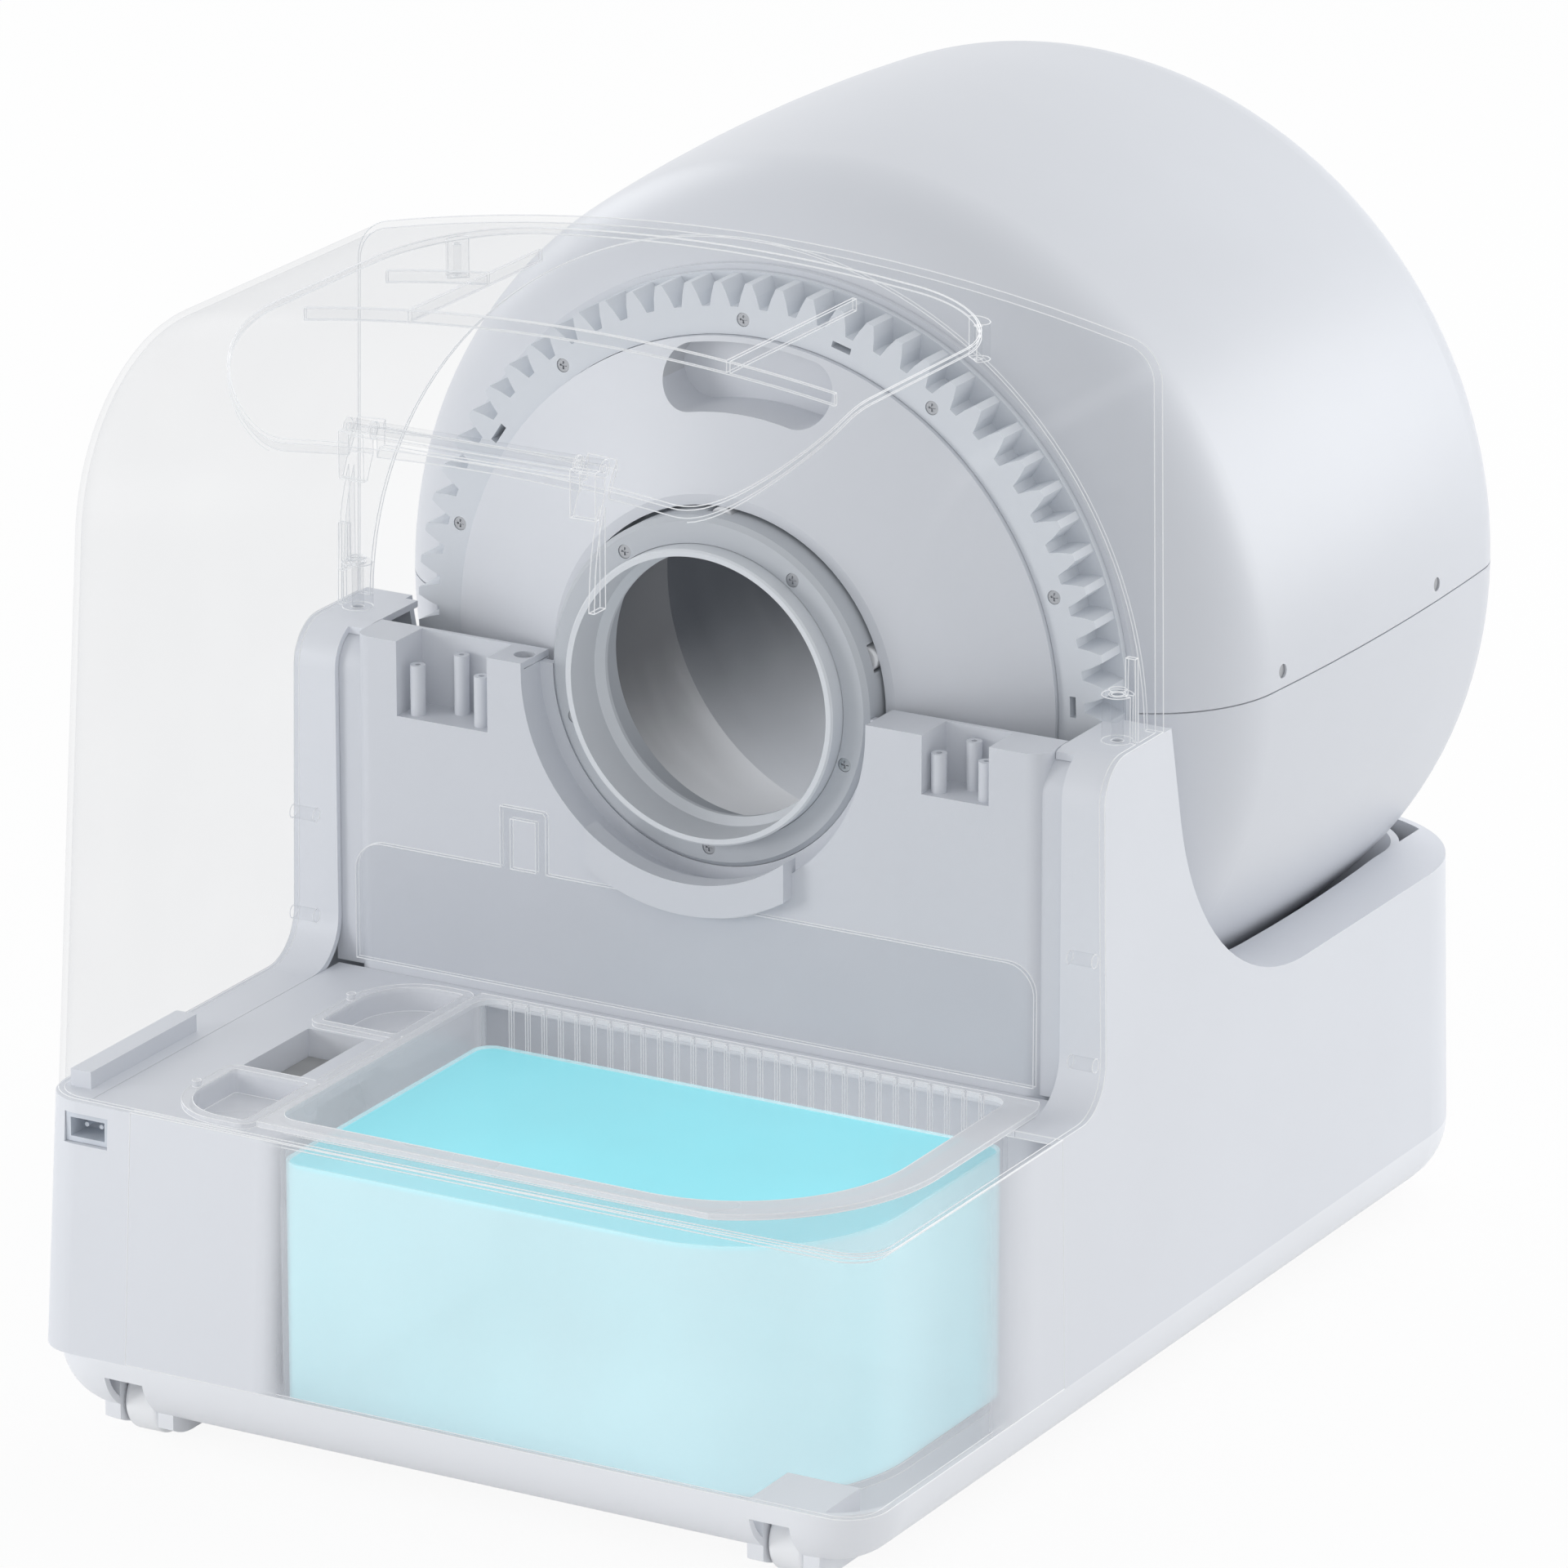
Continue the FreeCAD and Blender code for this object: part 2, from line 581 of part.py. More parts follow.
def drum_tray():
    trough = cut(drum_solid(D.drum_gap.value + D.skin.value, D.drum_front.value),
                 drum_solid(D.drum_gap.value, D.drum_front.value - PAST))
    room = common(leaning_block(PAN_FLOOR + D.seam, POST_TOP, D.wall + D.seam),
                  under_contour(-D.skin.value - D.seam.value))
    x, z = cradle_place()
    long = D.cradle_width / 2 + D.window_end
    windows = mirrored(lambda side: box(across(side, x - D.window_half, x + D.window_half),
                                        (D.cradle_y - long, D.cradle_y + long), (0, AXIS)))
    return node("drum_tray", cut(common(trough, room), *windows))


def bin_deck():
    left = D.post_inner - D.seam
    front = front_at(DECK) + D.wall + D.seam
    back = -D.post_front - D.seam
    level = (DECK_UNDER, DECK)
    plates = [box((-left, deck_edge() - D.seam), (front, back), level),
              box((deck_edge() - D.wall, left), (-D.bin_back + D.bin_gap, back), level),
              box((D.bin_right + D.bin_gap, left), (-D.panel_back, back), level)]
    cup = box(centred(-D.sensor_x, D.sensor_wide + 2 * D.recess_wall),
              centred(-D.sensor_y, D.sensor_long + 2 * D.recess_wall),
              (DECK - D.sensor_deep - D.recess_wall, DECK))
    hollow = box(centred(-D.sensor_x, D.sensor_wide), centred(-D.sensor_y, D.sensor_long),
                 (DECK - D.sensor_deep, BIG))
    floor = DECK - D.well_depth - D.well_gap
    wall = D.recess_wall
    cups = [well(near, far, PAST - wall, floor - wall, DECK) for near, far in WELLS]
    rooms = [well(near, far, PAST, floor, BIG) for near, far in WELLS]
    return node("bin_deck", cut(fuse(*plates, cup, *cups), hollow, *rooms))


def sensor_window():
    floor = DECK - D.sensor_deep
    pane = box(centred(-D.sensor_x, D.sensor_wide - 2 * D.seam),
               centred(-D.sensor_y, D.sensor_long - 2 * D.seam), (floor, floor + D.sensor_thick))
    return node("sensor_window", pane)


def inlet_front():
    return front_at(INLET_Z) + D.inlet_set


def power_inlet():
    front = inlet_front()
    back = front + D.inlet_deep
    shell = box(centred(-D.inlet_x, D.inlet_wide - 2 * D.seam), (front, back),
                centred(INLET_Z, D.inlet_high - 2 * D.seam))
    socket = box(centred(-D.inlet_x, D.inlet_wide - 2 * D.inlet_wall), (-BIG, back - 2 * D.inlet_wall),
                 centred(INLET_Z, D.inlet_high - 2 * D.inlet_wall))
    pins = [cylinder("y", (-D.inlet_x + side * D.inlet_pitch / 2, INLET_Z),
                     (front + 2 * D.inlet_wall, back - D.inlet_wall), D.inlet_pin) for side in (-1, 1)]
    return node("power_inlet", fuse(cut(shell, socket), *pins))


# Bulkhead between the two posts, with the collar's saddle.
def bulkhead():
    front = -D.post_front
    deep = (front, front + D.bulkhead_depth)
    half = D.bulkhead_half
    skin = D.skin

    def front_corner(edge):
        return D.plate_round if upright(edge) and edge.CenterOfMass.y < middle else None

    block = box((-half, half), deep, (PAN_FLOOR, POST_TOP))
    middle = (GEAR_Y + front + D.bulkhead_depth / 2).value
    plate = fillet(block, front_corner)
    hollow = box((skin - half, half - skin), (front + skin, BIG), (PAN_FLOOR + skin, POST_TOP - skin))
    below = box((-BIG, BIG), (-BIG, BIG), (0, AXIS))
    rim = common(ring("y", (0, AXIS), deep, D.saddle_radius + skin, D.saddle_radius), below)
    saddle = common(ring("y", (0, AXIS), (-D.saddle_front, D.saddle_width - D.saddle_front),
                         D.saddle_radius + skin / 2, D.collar_radius + D.saddle_gap), below)
    chin = common(ring("y", (0, AXIS), (front - D.chin_reach, front + skin), D.chin_radius,
                       D.saddle_radius - D.chin_lap),
                  box((-D.chin_half, D.chin_half), (-BIG, BIG), (0, AXIS - D.chin_drop)))
    cradle = fuse(cylinder("y", (0, AXIS), (-BIG, BIG), D.saddle_radius),
                  box((-D.saddle_radius, D.saddle_radius), (-BIG, BIG), (AXIS, BIG)))
    pockets = [(-D.left_pocket_mid, D.left_pocket_half, D.left_pocket_deep),
               (D.right_pocket_mid, D.right_pocket_half, D.right_pocket_deep)]
    wall = D.pocket_wall
    boxes = [box((mid - wide - wall, mid + wide + wall), deep, (POST_TOP - low - wall, POST_TOP))
             for mid, wide, low in pockets]
    rooms = [box((mid - wide, mid + wide), (-BIG, deep[1] - wall), (POST_TOP - low, BIG))
             for mid, wide, low in pockets]
    stay = cylinder("z", (-D.stay_x, -D.stay_y), (POST_TOP - D.stay_deep, BIG), D.stay_hole)
    reach = D.post_inner + D.groove_overlap
    behind = (front + skin + D.seam, front + 2 * skin + D.seam)
    under = POST_TOP - D.post_round
    wings = mirrored(lambda side: box(across(side, half - skin, reach), behind, (DECK + D.seam, under)))
    bend = cut(under_contour(-skin.value - D.seam.value), under_contour(-2 * skin.value - D.seam.value))
    wings += mirrored(lambda side: common(bend, box(across(side, half - skin, reach), (behind[0], deep[1]),
                                                    (under - PAST, BIG))))
    bosses = [boss for pocket in pockets for boss in pocket_bosses(*pocket)]
    frame = cut(fuse(cut(plate, hollow), rim, *boxes), cradle, *rooms, stay)
    return node("bulkhead", fuse(frame, saddle, chin, *wings, *bosses))


def pocket_bosses(middle, half, deep):
    """Three screw posts in a pocket, the middle one taller and further back."""
    floor = POST_TOP - deep - D.pocket_wall / 2
    pitch = D.boss_pitch * half / D.left_pocket_half
    front = D.boss_front - D.post_front
    back = D.boss_back - D.post_front
    rise = floor + D.boss_rise * deep / D.left_pocket_deep
    return [boss(middle - pitch, front, floor, rise), boss(middle, back, floor, rise + D.boss_step),
            boss(middle + pitch, front, floor, rise)]


def boss(x, y, low, high):
    """A screw post with a blind hole in its top."""
    hole = cylinder("z", (x, y), (high - 2 * D.boss_radius, high + PAST), D.boss_hole)
    return cut(cylinder("z", (x, y), (low, high), D.boss_radius), hole)


def splash_guard():
    back = -D.post_front - D.seam
    sheet_y = (back - D.guard_thick, back)
    panel = box((-D.guard_half, D.guard_half), sheet_y, (DECK + D.guard_low, GUARD_TOP))
    top = GUARD_TOP.value

    def shoulder(edge):
        length = edge.BoundBox
        level = length.ZMin > top - 0.01
        return D.guard_round if level and length.XLength < 0.01 else None

    tab = box(centred(-D.tab_mid, D.tab_wide), sheet_y,
              (GUARD_TOP - D.guard_round, GUARD_TOP + D.tab_high))
    gap = box(centred(-D.tab_mid, D.tab_wide - 2 * D.tab_frame), (-BIG, BIG),
              (GUARD_TOP, GUARD_TOP + D.tab_high - D.tab_frame))
    chin = cylinder("y", (0, AXIS), (-BIG, BIG), D.chin_radius + D.bin_gap)
    return node("splash_guard", cut(fuse(fillet(panel, shoulder), tab), gap, chin))


# Stationary collar with its rollers, and the waste nozzle.
ROLLER_ORBIT = D.hub_bore - D.roller_gap - D.roller_radius
ROLLER_BACK = D.roller_width - D.roller_front
SCREW_SEAT = D.screw_sunk + D.screw_tall


def screw(centre, face):
    """A sunk head along y with a cross recess in its front face."""
    x, z = centre
    front = face + D.screw_sunk
    head = cylinder("y", centre, (front, face + SCREW_SEAT), D.screw_head)
    long = 1.2 * D.screw_head
    thin = 0.3 * D.screw_head
    bars = [box(centred(x, wide), (front - PAST, front + D.screw_tall / 3), centred(z, high))
            for wide, high in ((long, thin), (thin, long))]
    return cut(head, *bars)


def screw_holes(centres, face):
    return [cylinder("y", centre, (face - PAST, face + SCREW_SEAT), D.screw_head + D.screw_gap)
            for centre in centres]


def roller_centres():
    return [polar(ROLLER_ORBIT, angle) for angle in evenly(D.collar_screws, D.roller_phase)]


def collar_screw_centres():
    return [polar(D.collar_screw_radius, angle) for angle in evenly(D.collar_screws, D.collar_phase)]


def bearing_collar():
    front = -D.collar_front
    body = lathe([(D.collar_bore, front), (D.collar_radius - D.collar_chamfer, front),
                  (D.collar_radius, front + D.collar_chamfer), (D.collar_radius, -D.collar_back),
                  (D.collar_bore, -D.collar_back)])
    cuts = screw_holes(collar_screw_centres(), front)
    pocket = (-D.roller_front - D.roller_round - D.pocket_gap, ROLLER_BACK + D.pocket_gap)
    room = D.roller_radius + D.pocket_gap
    for angle, centre in zip(evenly(D.collar_screws, D.roller_phase), roller_centres()):
        cuts.append(cylinder("y", centre, pocket, room))
        cuts.append(cylinder("y", polar(D.collar_radius, angle), pocket, room))
        cuts.append(cylinder("y", centre, (ROLLER_BACK, ROLLER_BACK + D.pin_grip), D.pin_radius))
    return node("bearing_collar", cut(body, *cuts))


def collar_screws():
    heads = [screw(centre, -D.collar_front) for centre in collar_screw_centres()]
    return node("collar_screws", group(*heads))


def hub_rollers():
    bore = D.pin_radius + D.run_gap
    edge = D.roller_radius - D.roller_round
    front = -D.roller_front
    for index, (x, z) in enumerate(roller_centres(), start=1):
        tyre = lathe([(bore, front), (edge, front), (D.roller_radius, front + D.roller_round),
                      (D.roller_radius, ROLLER_BACK - D.roller_round), (edge, ROLLER_BACK),
                      (bore, ROLLER_BACK)], x, z)
        node(f"hub_roller_{index}", tyre)


def roller_pins():
    span = (-D.roller_front - D.roller_round, ROLLER_BACK + D.pin_grip)
    pins = [cylinder("y", centre, span, D.pin_radius) for centre in roller_centres()]
    return node("roller_pins", group(*pins))


def waste_nozzle():
    outer = D.collar_bore - D.nozzle_gap
    inner = outer - D.nozzle_wall
    lip = inner - D.nozzle_lip
    back = -D.nozzle_back
    sill = back - D.nozzle_sill
    round_ = D.roller_round
    return node("waste_nozzle", lathe([
        (inner, -D.nozzle_front), (outer - round_, -D.nozzle_front), (outer, round_ - D.nozzle_front),
        (outer, back), (lip, back), (lip, sill), (inner, sill - D.nozzle_lip)]))


# Drum: shells, end cap, bull gear, chute, sieve and entrance ring.
def drum_shells():
    front = D.drum_front.value
    barrel = cut(drum_solid(0, front), drum_solid(-D.drum_wall.value, front - PAST),
                 cylinder("y", (0, AXIS), (D.crown_mid, BIG), D.entrance_radius))
    gap = D.seam_gap / 2
    upper = box((-BIG, BIG), (-BIG, BIG), (AXIS + gap, 2 * BIG))
    lower = box((-BIG, BIG), (-BIG, BIG), (-BIG, AXIS - gap))
    sinks = [cylinder("x", (y, AXIS + D.seam_screw_rise), (-BIG, BIG), D.screw_head + D.screw_gap)
             for y in (D.seam_screw_front, D.seam_screw_rear)]
    node("drum_upper_shell", cut(common(barrel, upper), *sinks))
    node("drum_lower_shell", common(barrel, lower))


def barrel_radius(y):
    """The drum's outer radius where the crown covers y."""
    away = as_size(y) - D.crown_mid
    return D.drum_radius - away * away / (2 * D.crown_radius)


def seam_screws():
    heads = []
    for y in (D.seam_screw_front, D.seam_screw_rear):
        face = barrel_radius(y) - 2 * D.screw_sunk
        for side in (-1, 1):
            centre = (y, AXIS + D.seam_screw_rise)
            heads.append(cylinder("x", centre, across(side, face - D.screw_long, face), D.screw_head))
    return node("seam_screws", group(*heads))


def sector(radius, span, middle, spread):
    """A wedge of a disc about the drum's axis, centred on an angle and spread to both sides of it."""
    wedge = fresh("Part::Cylinder", "wedge")
    bind(wedge, Radius=radius, Height=as_size(span[1]) - span[0], Angle=2 * spread)
    lay = FreeCAD.Rotation(FreeCAD.Vector(1, 0, 0), -90)
    spin = FreeCAD.Rotation(FreeCAD.Vector(0, 1, 0), -middle - spread.value)
    turn = spin * lay
    return place(wedge, 0, span[0], AXIS, (turn.Axis, math.degrees(turn.Angle)))


RECESS_MIDDLE = 90


def bean(span, half):
    """A curved slot about the drum's axis with round ends, as wide as twice the half."""
    band = ring("y", (0, AXIS), span, D.recess_radius + half, D.recess_radius - half)
    wedge = sector(D.recess_radius + 2 * half, span, RECESS_MIDDLE, D.recess_angle)
    ends = [cylinder("y", polar(D.recess_radius, RECESS_MIDDLE + side * D.recess_angle.value), span, half)
            for side in (-1, 1)]
    return fuse(common(band, wedge), *ends)


def drum_end_cap():
    hub_out = D.hub_bore + D.hub_wall
    rim = D.gear_bore - D.spigot_gap
    seat = D.gear_face + D.gear_flange + D.seat_gap
    seat_out = FLANGE_RADIUS + D.seat_lip
    skirt = rim - D.cap_skirt
    plate = lathe([(D.hub_bore, -D.hub_front), (hub_out, -D.hub_front), (rim, -D.cap_rim), (rim, seat),
                   (seat_out, seat), (seat_out, D.drum_front), (skirt, D.drum_front),
                   (skirt, D.cap_wall - D.cap_rim), (hub_out, D.cap_wall - D.hub_front),
                   (hub_out, -D.hub_back), (D.hub_bore, -D.hub_back)])
    behind = lathe([(D.hub_bore, -D.hub_front), (hub_out, -D.hub_front), (rim, -D.cap_rim),
                    (rim, D.drum_front), (D.hub_bore, D.drum_front)])
    cup = common(bean((-D.hub_front, D.recess_floor), D.recess_half + D.cup_wall), behind)
    room = bean((-2 * D.hub_front, D.recess_floor - D.cup_wall), D.recess_half)
    return node("drum_end_cap", cut(fuse(plate, cup), room))


RING_SCREW_RADIUS = D.gear_bore + D.ring_screw_in


def ring_screw_centres():
    return [polar(RING_SCREW_RADIUS, angle) for angle in evenly(D.ring_screws, D.ring_phase)]


def bull_gear():
    flange = cylinder("y", (0, AXIS), (D.gear_face, D.gear_face + D.gear_flange), FLANGE_RADIUS)
    cuts = [cylinder("y", (0, AXIS), (-PAST, BIG), D.gear_bore), *screw_holes(ring_screw_centres(), 0)]
    for angle in evenly(D.ring_slots, D.slot_phase):
        slot = fresh("Part::Box", "slot")
        bind(slot, Length=D.slot_wide, Width=BIG, Height=D.slot_long)
        bind_corner(slot, -D.slot_wide / 2, -PAST, -D.slot_long / 2)
        x, z = polar(RING_SCREW_RADIUS, angle)
        cuts.append(place(group(slot), x, 0, z, ((0, 1, 0), -angle)))
    teeth = gear_blank(D.gear_teeth, 0, D.gear_face, 2)
    return node("bull_gear", cut(fuse(teeth, flange), *cuts))


def bind_corner(shape, x, y, z):
    """Sets a shape's corner in its own frame, for a piece that its group then turns and places."""
    for letter, length in zip("xyz", (x, y, z)):
        shape.setExpression(f"Placement.Base.{letter}", as_size(length).text)


def gear_screws():
    return node("gear_screws", group(*[screw(centre, 0) for centre in ring_screw_centres()]))


def waste_chute():
    start = -D.hub_back
    seat = start + D.chute_wall
    outer = D.hub_bore + D.hub_wall
    inner = D.collar_bore + D.chute_wall
    end = inner + D.chute_flare
    return node("waste_chute", lathe([
        (inner, start), (outer, start), (outer, seat), (inner + D.chute_wall, seat),
        (end, D.chute_end), (end - D.chute_wall, D.chute_end)]))


def sieve_plate():
    level = AXIS + D.sieve_rise
    sheet_y = (D.sieve_front, D.sieve_front + D.sieve_long)
    slab = common(box((-BIG, BIG), sheet_y, (level, level + D.sieve_thick)),
                  drum_solid(-D.drum_wall.value - D.seam.value, D.drum_front.value))
    slots = []
    for row in range(int(D.sieve_slots.value)):
        middle = D.sieve_front + (row + 0.8) * D.sieve_pitch
        slots.append(box((-D.sieve_half, D.sieve_half), centred(middle, D.sieve_slot), (level - PAST, BIG)))
    return node("sieve_plate", cut(slab, *slots))


def entrance_ring():
    hole = D.entrance_radius - D.seam
    rim = hole + D.entrance_rim
    bore = D.entrance_radius - D.entrance_lip
    rear = D.drum_rear
    back = rear + D.recess_wall + D.entrance_round
    round_ = D.entrance_round
    return node("entrance_ring", lathe([
        (bore, rear - D.entrance_depth), (hole, rear - D.entrance_depth), (hole, rear), (rim, rear),
        (rim, back - round_), (rim - round_, back), (bore + round_, back), (bore, back - round_)]))


# Drive: pinion, gear motor and bracket.
CENTRE_DISTANCE = PITCH_RADIUS + D.gear_module * D.pinion_teeth / 2 + D.mesh_slack
BRACKET = (-D.bracket_back - D.plate, -D.bracket_back)
BULKHEAD_INNER = D.skin - D.post_front


def pinion_place():
    return polar(CENTRE_DISTANCE, D.pinion_angle.value)


def drive_pinion():
    x, z = pinion_place()
    # A tooth space of the pinion faces the bull gear's tooth that points at it.
    gear_step = 360.0 / D.gear_teeth.value
    pinion_step = 360.0 / D.pinion_teeth.value
    away = (D.pinion_angle.value % gear_step) / gear_step
    phase = D.pinion_angle.value - 180 + pinion_step * (0.5 + away)
    wheel = gear_blank(D.pinion_teeth, D.tooth_inset, D.gear_face - D.tooth_inset, 5, x, z, phase)
    shaft = cylinder("y", (x, z), (BRACKET[0] - D.shaft_in, D.gear_face), D.shaft_radius)
    return node("drive_pinion", fuse(wheel, shaft))


def drive_motor():
    centre = pinion_place()
    can = cylinder("y", centre, (-D.motor_front, -D.gearbox_front), D.motor_radius)
    cap = cylinder("y", centre, (-D.motor_front - D.motor_boss_long, -D.motor_front), D.motor_boss)
    node("drive_motor", fuse(can, cap))
    case = cylinder("y", centre, (-D.gearbox_front, BRACKET[0]), D.gearbox_radius)
    bore = cylinder("y", centre, (BRACKET[0] - D.shaft_in - D.run_gap, 0), D.shaft_radius + D.run_gap)
    node("drive_gearbox", cut(case, bore))


def motor_bracket():
    x, z = pinion_place()
    half = D.bracket_half
    plate = cut(box((x - half, x + half), BRACKET, (z - half, z + D.bracket_up)),
                cylinder("y", (x, z), (-BIG, BIG), D.bracket_hole))
    wide = half - D.standoff_in
    corners = [(x + dx, z + dz) for dx in (-wide, wide) for dz in (-wide, D.bracket_up - D.standoff_in)]
    posts = [cylinder("y", corner, (BULKHEAD_INNER, BRACKET[1]), D.standoff) for corner in corners]
    return node("motor_bracket", fuse(plate, *posts))


def control_board():
    face = BULKHEAD_INNER + D.board_stand
    wide = centred(D.board_x, D.board_wide)
    high = centred(D.board_z, D.board_high)
    board = box(wide, (face, face + D.board_thick), high)
    corners = [(x, z) for x in (wide[0] + D.board_post_in, wide[1] - D.board_post_in)
               for z in (high[0] + D.board_post_in, high[1] - D.board_post_in)]
    stands = [cylinder("y", corner, (BULKHEAD_INNER, face), D.board_post) for corner in corners]
    tall = (face, face + D.board_thick + D.chip_thick)
    chips = mirrored(lambda side: box(centred(D.board_x + side * D.chip_wide, D.chip_wide), tall,
                                      centred(D.board_z, D.chip_high)))
    return node("control_board", fuse(board, *stands, *chips))


# Service cover with its hinged lid.
LEAN = root(D.front_lean * D.front_lean + 1)
ROUND_Z = COVER_TOP - D.cover_round
ROUND_Y = front_at(ROUND_Z) + D.cover_round * LEAN
hinge_turn = math.radians(D.hinge_angle.value)
HINGE_Y = ROUND_Y + (D.cover_round + D.hinge_lift) * math.cos(hinge_turn)
HINGE_Z = ROUND_Z + (D.cover_round + D.hinge_lift) * math.sin(hinge_turn)
LID_FRONT = HINGE_Y + D.hinge_set


def cover_solid(inset, low):
    """The cover's outer form drawn in by the inset: a leaning front, a round shoulder and a crowned top."""
    inset = as_size(inset)
    low = as_size(low)
    size = D.cover_round.value - inset.value
    top = COVER_TOP.value - inset.value
    crown_z = COVER_TOP.value - D.cover_crown.value
    rear = -D.cover_rear.value - inset.value
    bottom = low.value - DECK.value / 4
    foot_y = (front_at(as_size(bottom)) + inset * LEAN).value

    def spot(y, z):
        return FreeCAD.Vector(0, y, z - crown_z)

    def on_round(angle):
        return spot(ROUND_Y.value + size * math.cos(angle), ROUND_Z.value + size * math.sin(angle))

    up = math.pi / 2
    start = math.pi - math.atan(D.front_lean.value)
    edges = [Part.makeLine(spot(rear, top), spot(rear, bottom)),
             Part.makeLine(spot(rear, bottom), spot(foot_y, bottom)),
             Part.makeLine(spot(foot_y, bottom), on_round(start)),
             arc(on_round(start), on_round((start + up) / 2), on_round(up)),
             Part.makeLine(on_round(up), spot(rear, top))]
    face = Part.Face(Part.Wire(edges))
    half_turn = 2 * math.degrees(math.atan(D.half_width.value / D.cover_crown.value))
    axis = FreeCAD.Vector(0, 1, 0)
    face.rotate(FreeCAD.Vector(), axis, -half_turn)
    crown = face.revolve(FreeCAD.Vector(), axis, 2 * half_turn)
    swept = feature("crowned", crown, z=COVER_TOP - D.cover_crown)
    sides = fresh("Part::Wedge", "sides")
    high = COVER_TOP + D.corner_round
    bind(sides, Ymin=low, Ymax=high, Xmin=inset - half_at(low), Xmax=half_at(low) - inset)
    bind(sides, X2min=inset - half_at(high), X2max=half_at(high) - inset)
    bind(sides, Zmin=-BIG, Zmax=BIG, Z2min=-BIG, Z2max=BIG)
    place(sides, 0, 0, 0, ((1, 0, 0), 90))
    floor = low.value + 0.1
    back = GEAR_Y.value + rear - 0.1
    outer = 0.8 * D.half_width.value

    def side_edge(edge):
        reach = edge.BoundBox
        on_side = min(abs(reach.XMin), abs(reach.XMax)) > outer
        return D.corner_round - inset if on_side and reach.ZMax > floor and reach.YMin < back else None

    return fillet(common(swept, sides), side_edge)


def lid_prism(grow):
    block = box((-D.lid_half - grow, D.lid_half + grow), (LID_FRONT - grow, grow - D.lid_rear),
                (HINGE_Z - D.lid_deep, COVER_TOP + D.lid_deep))
    return fillet(block, lambda edge: D.lid_corner + grow if upright(edge) else None)


COVER_LOW = DECK + D.cover_gap


def cover_shell():
    return cut(cover_solid(0, COVER_LOW), cover_solid(D.cover_wall, COVER_LOW - PAST))


def top_boss_place(side):
    return side * D.top_boss_x, -D.top_boss_y


def cover_fittings(side):
    """Bosses, webs, gussets and locating pegs inside one half of the cover."""
    post = post_screw_place(side)
    top = top_boss_place(side)
    low = POST_TOP + D.cover_gap
    knuckle = across(side, D.knuckle_half + D.knuckle_gap + D.knuckle_long - D.cover_web,
                     D.knuckle_half + D.knuckle_gap + D.knuckle_long)
    pegs = [cylinder("x", (-D.post_front - D.peg_front, z),
                     across(side, half_at(z) - D.cover_wall - D.peg_in, BIG), D.peg_radius)
            for z in (DECK + D.peg_low_rise, DECK + D.peg_high_rise)]
    return [cylinder("z", post, (low, low + D.cover_boss_high), D.cover_boss),
            box(across(side, D.post_screw_x + D.cover_boss - D.cover_web, BIG),
                centred(-D.post_screw_y, D.cover_web), (low, low + D.cover_web_high)),
            cylinder("z", top, (COVER_TOP - D.top_boss_high, COVER_TOP), D.top_boss),
            box(knuckle, (-BIG, HINGE_Y), (COVER_TOP - D.gusset_low, COVER_TOP - D.gusset_high)), *pegs]


def knuckle_span(side):
    near = D.knuckle_half + D.knuckle_gap
    return across(side, near, near + D.knuckle_long)


def service_cover():
    knuckles = []
    for side in (-1, 1):
        knuckles.append(cylinder("x", (HINGE_Y, HINGE_Z), knuckle_span(side), D.knuckle))
        knuckles.append(box(knuckle_span(side), (HINGE_Y - 2 * D.knuckle, HINGE_Y),
                            (HINGE_Z - D.knuckle_base, HINGE_Z)))
    inside = common(fuse(*[item for side in (-1, 1) for item in cover_fittings(side)]),
                    cover_solid(D.cover_wall / 2, DECK))
    bore = cylinder("x", (HINGE_Y, HINGE_Z), (-BIG, BIG), D.pin_radius)
    sockets = mirrored(lambda side: cylinder("z", top_boss_place(side), (0, COVER_TOP - D.top_boss_high / 2),
                                             D.top_boss_hole))
    sockets += mirrored(lambda side: cylinder("z", post_screw_place(side), (0, POST_TOP + D.cover_web_high),
                                              D.post_screw + D.screw_gap))
    mouth = common(cylinder("y", (0, AXIS), (-BIG, BIG), FLANGE_RADIUS + D.cover_ring_gap),
                   box((-BIG, BIG), (-D.cover_rear - 2 * D.cover_wall, BIG), (-BIG, BIG)))
    top_hole = lid_prism(D.lid_gap)
    whole = fuse(cut(cover_shell(), mouth, top_hole), cut(inside, top_hole), *knuckles)
    inner_knuckles = cut(cover_solid(D.cover_wall, COVER_LOW), box((-BIG, BIG), (HINGE_Y, BIG), (-BIG, BIG)),
                         inside)
    body = under_contour(D.cover_gap.value)
    return node("service_cover", cut(whole, body, bore, *sockets, inner_knuckles))


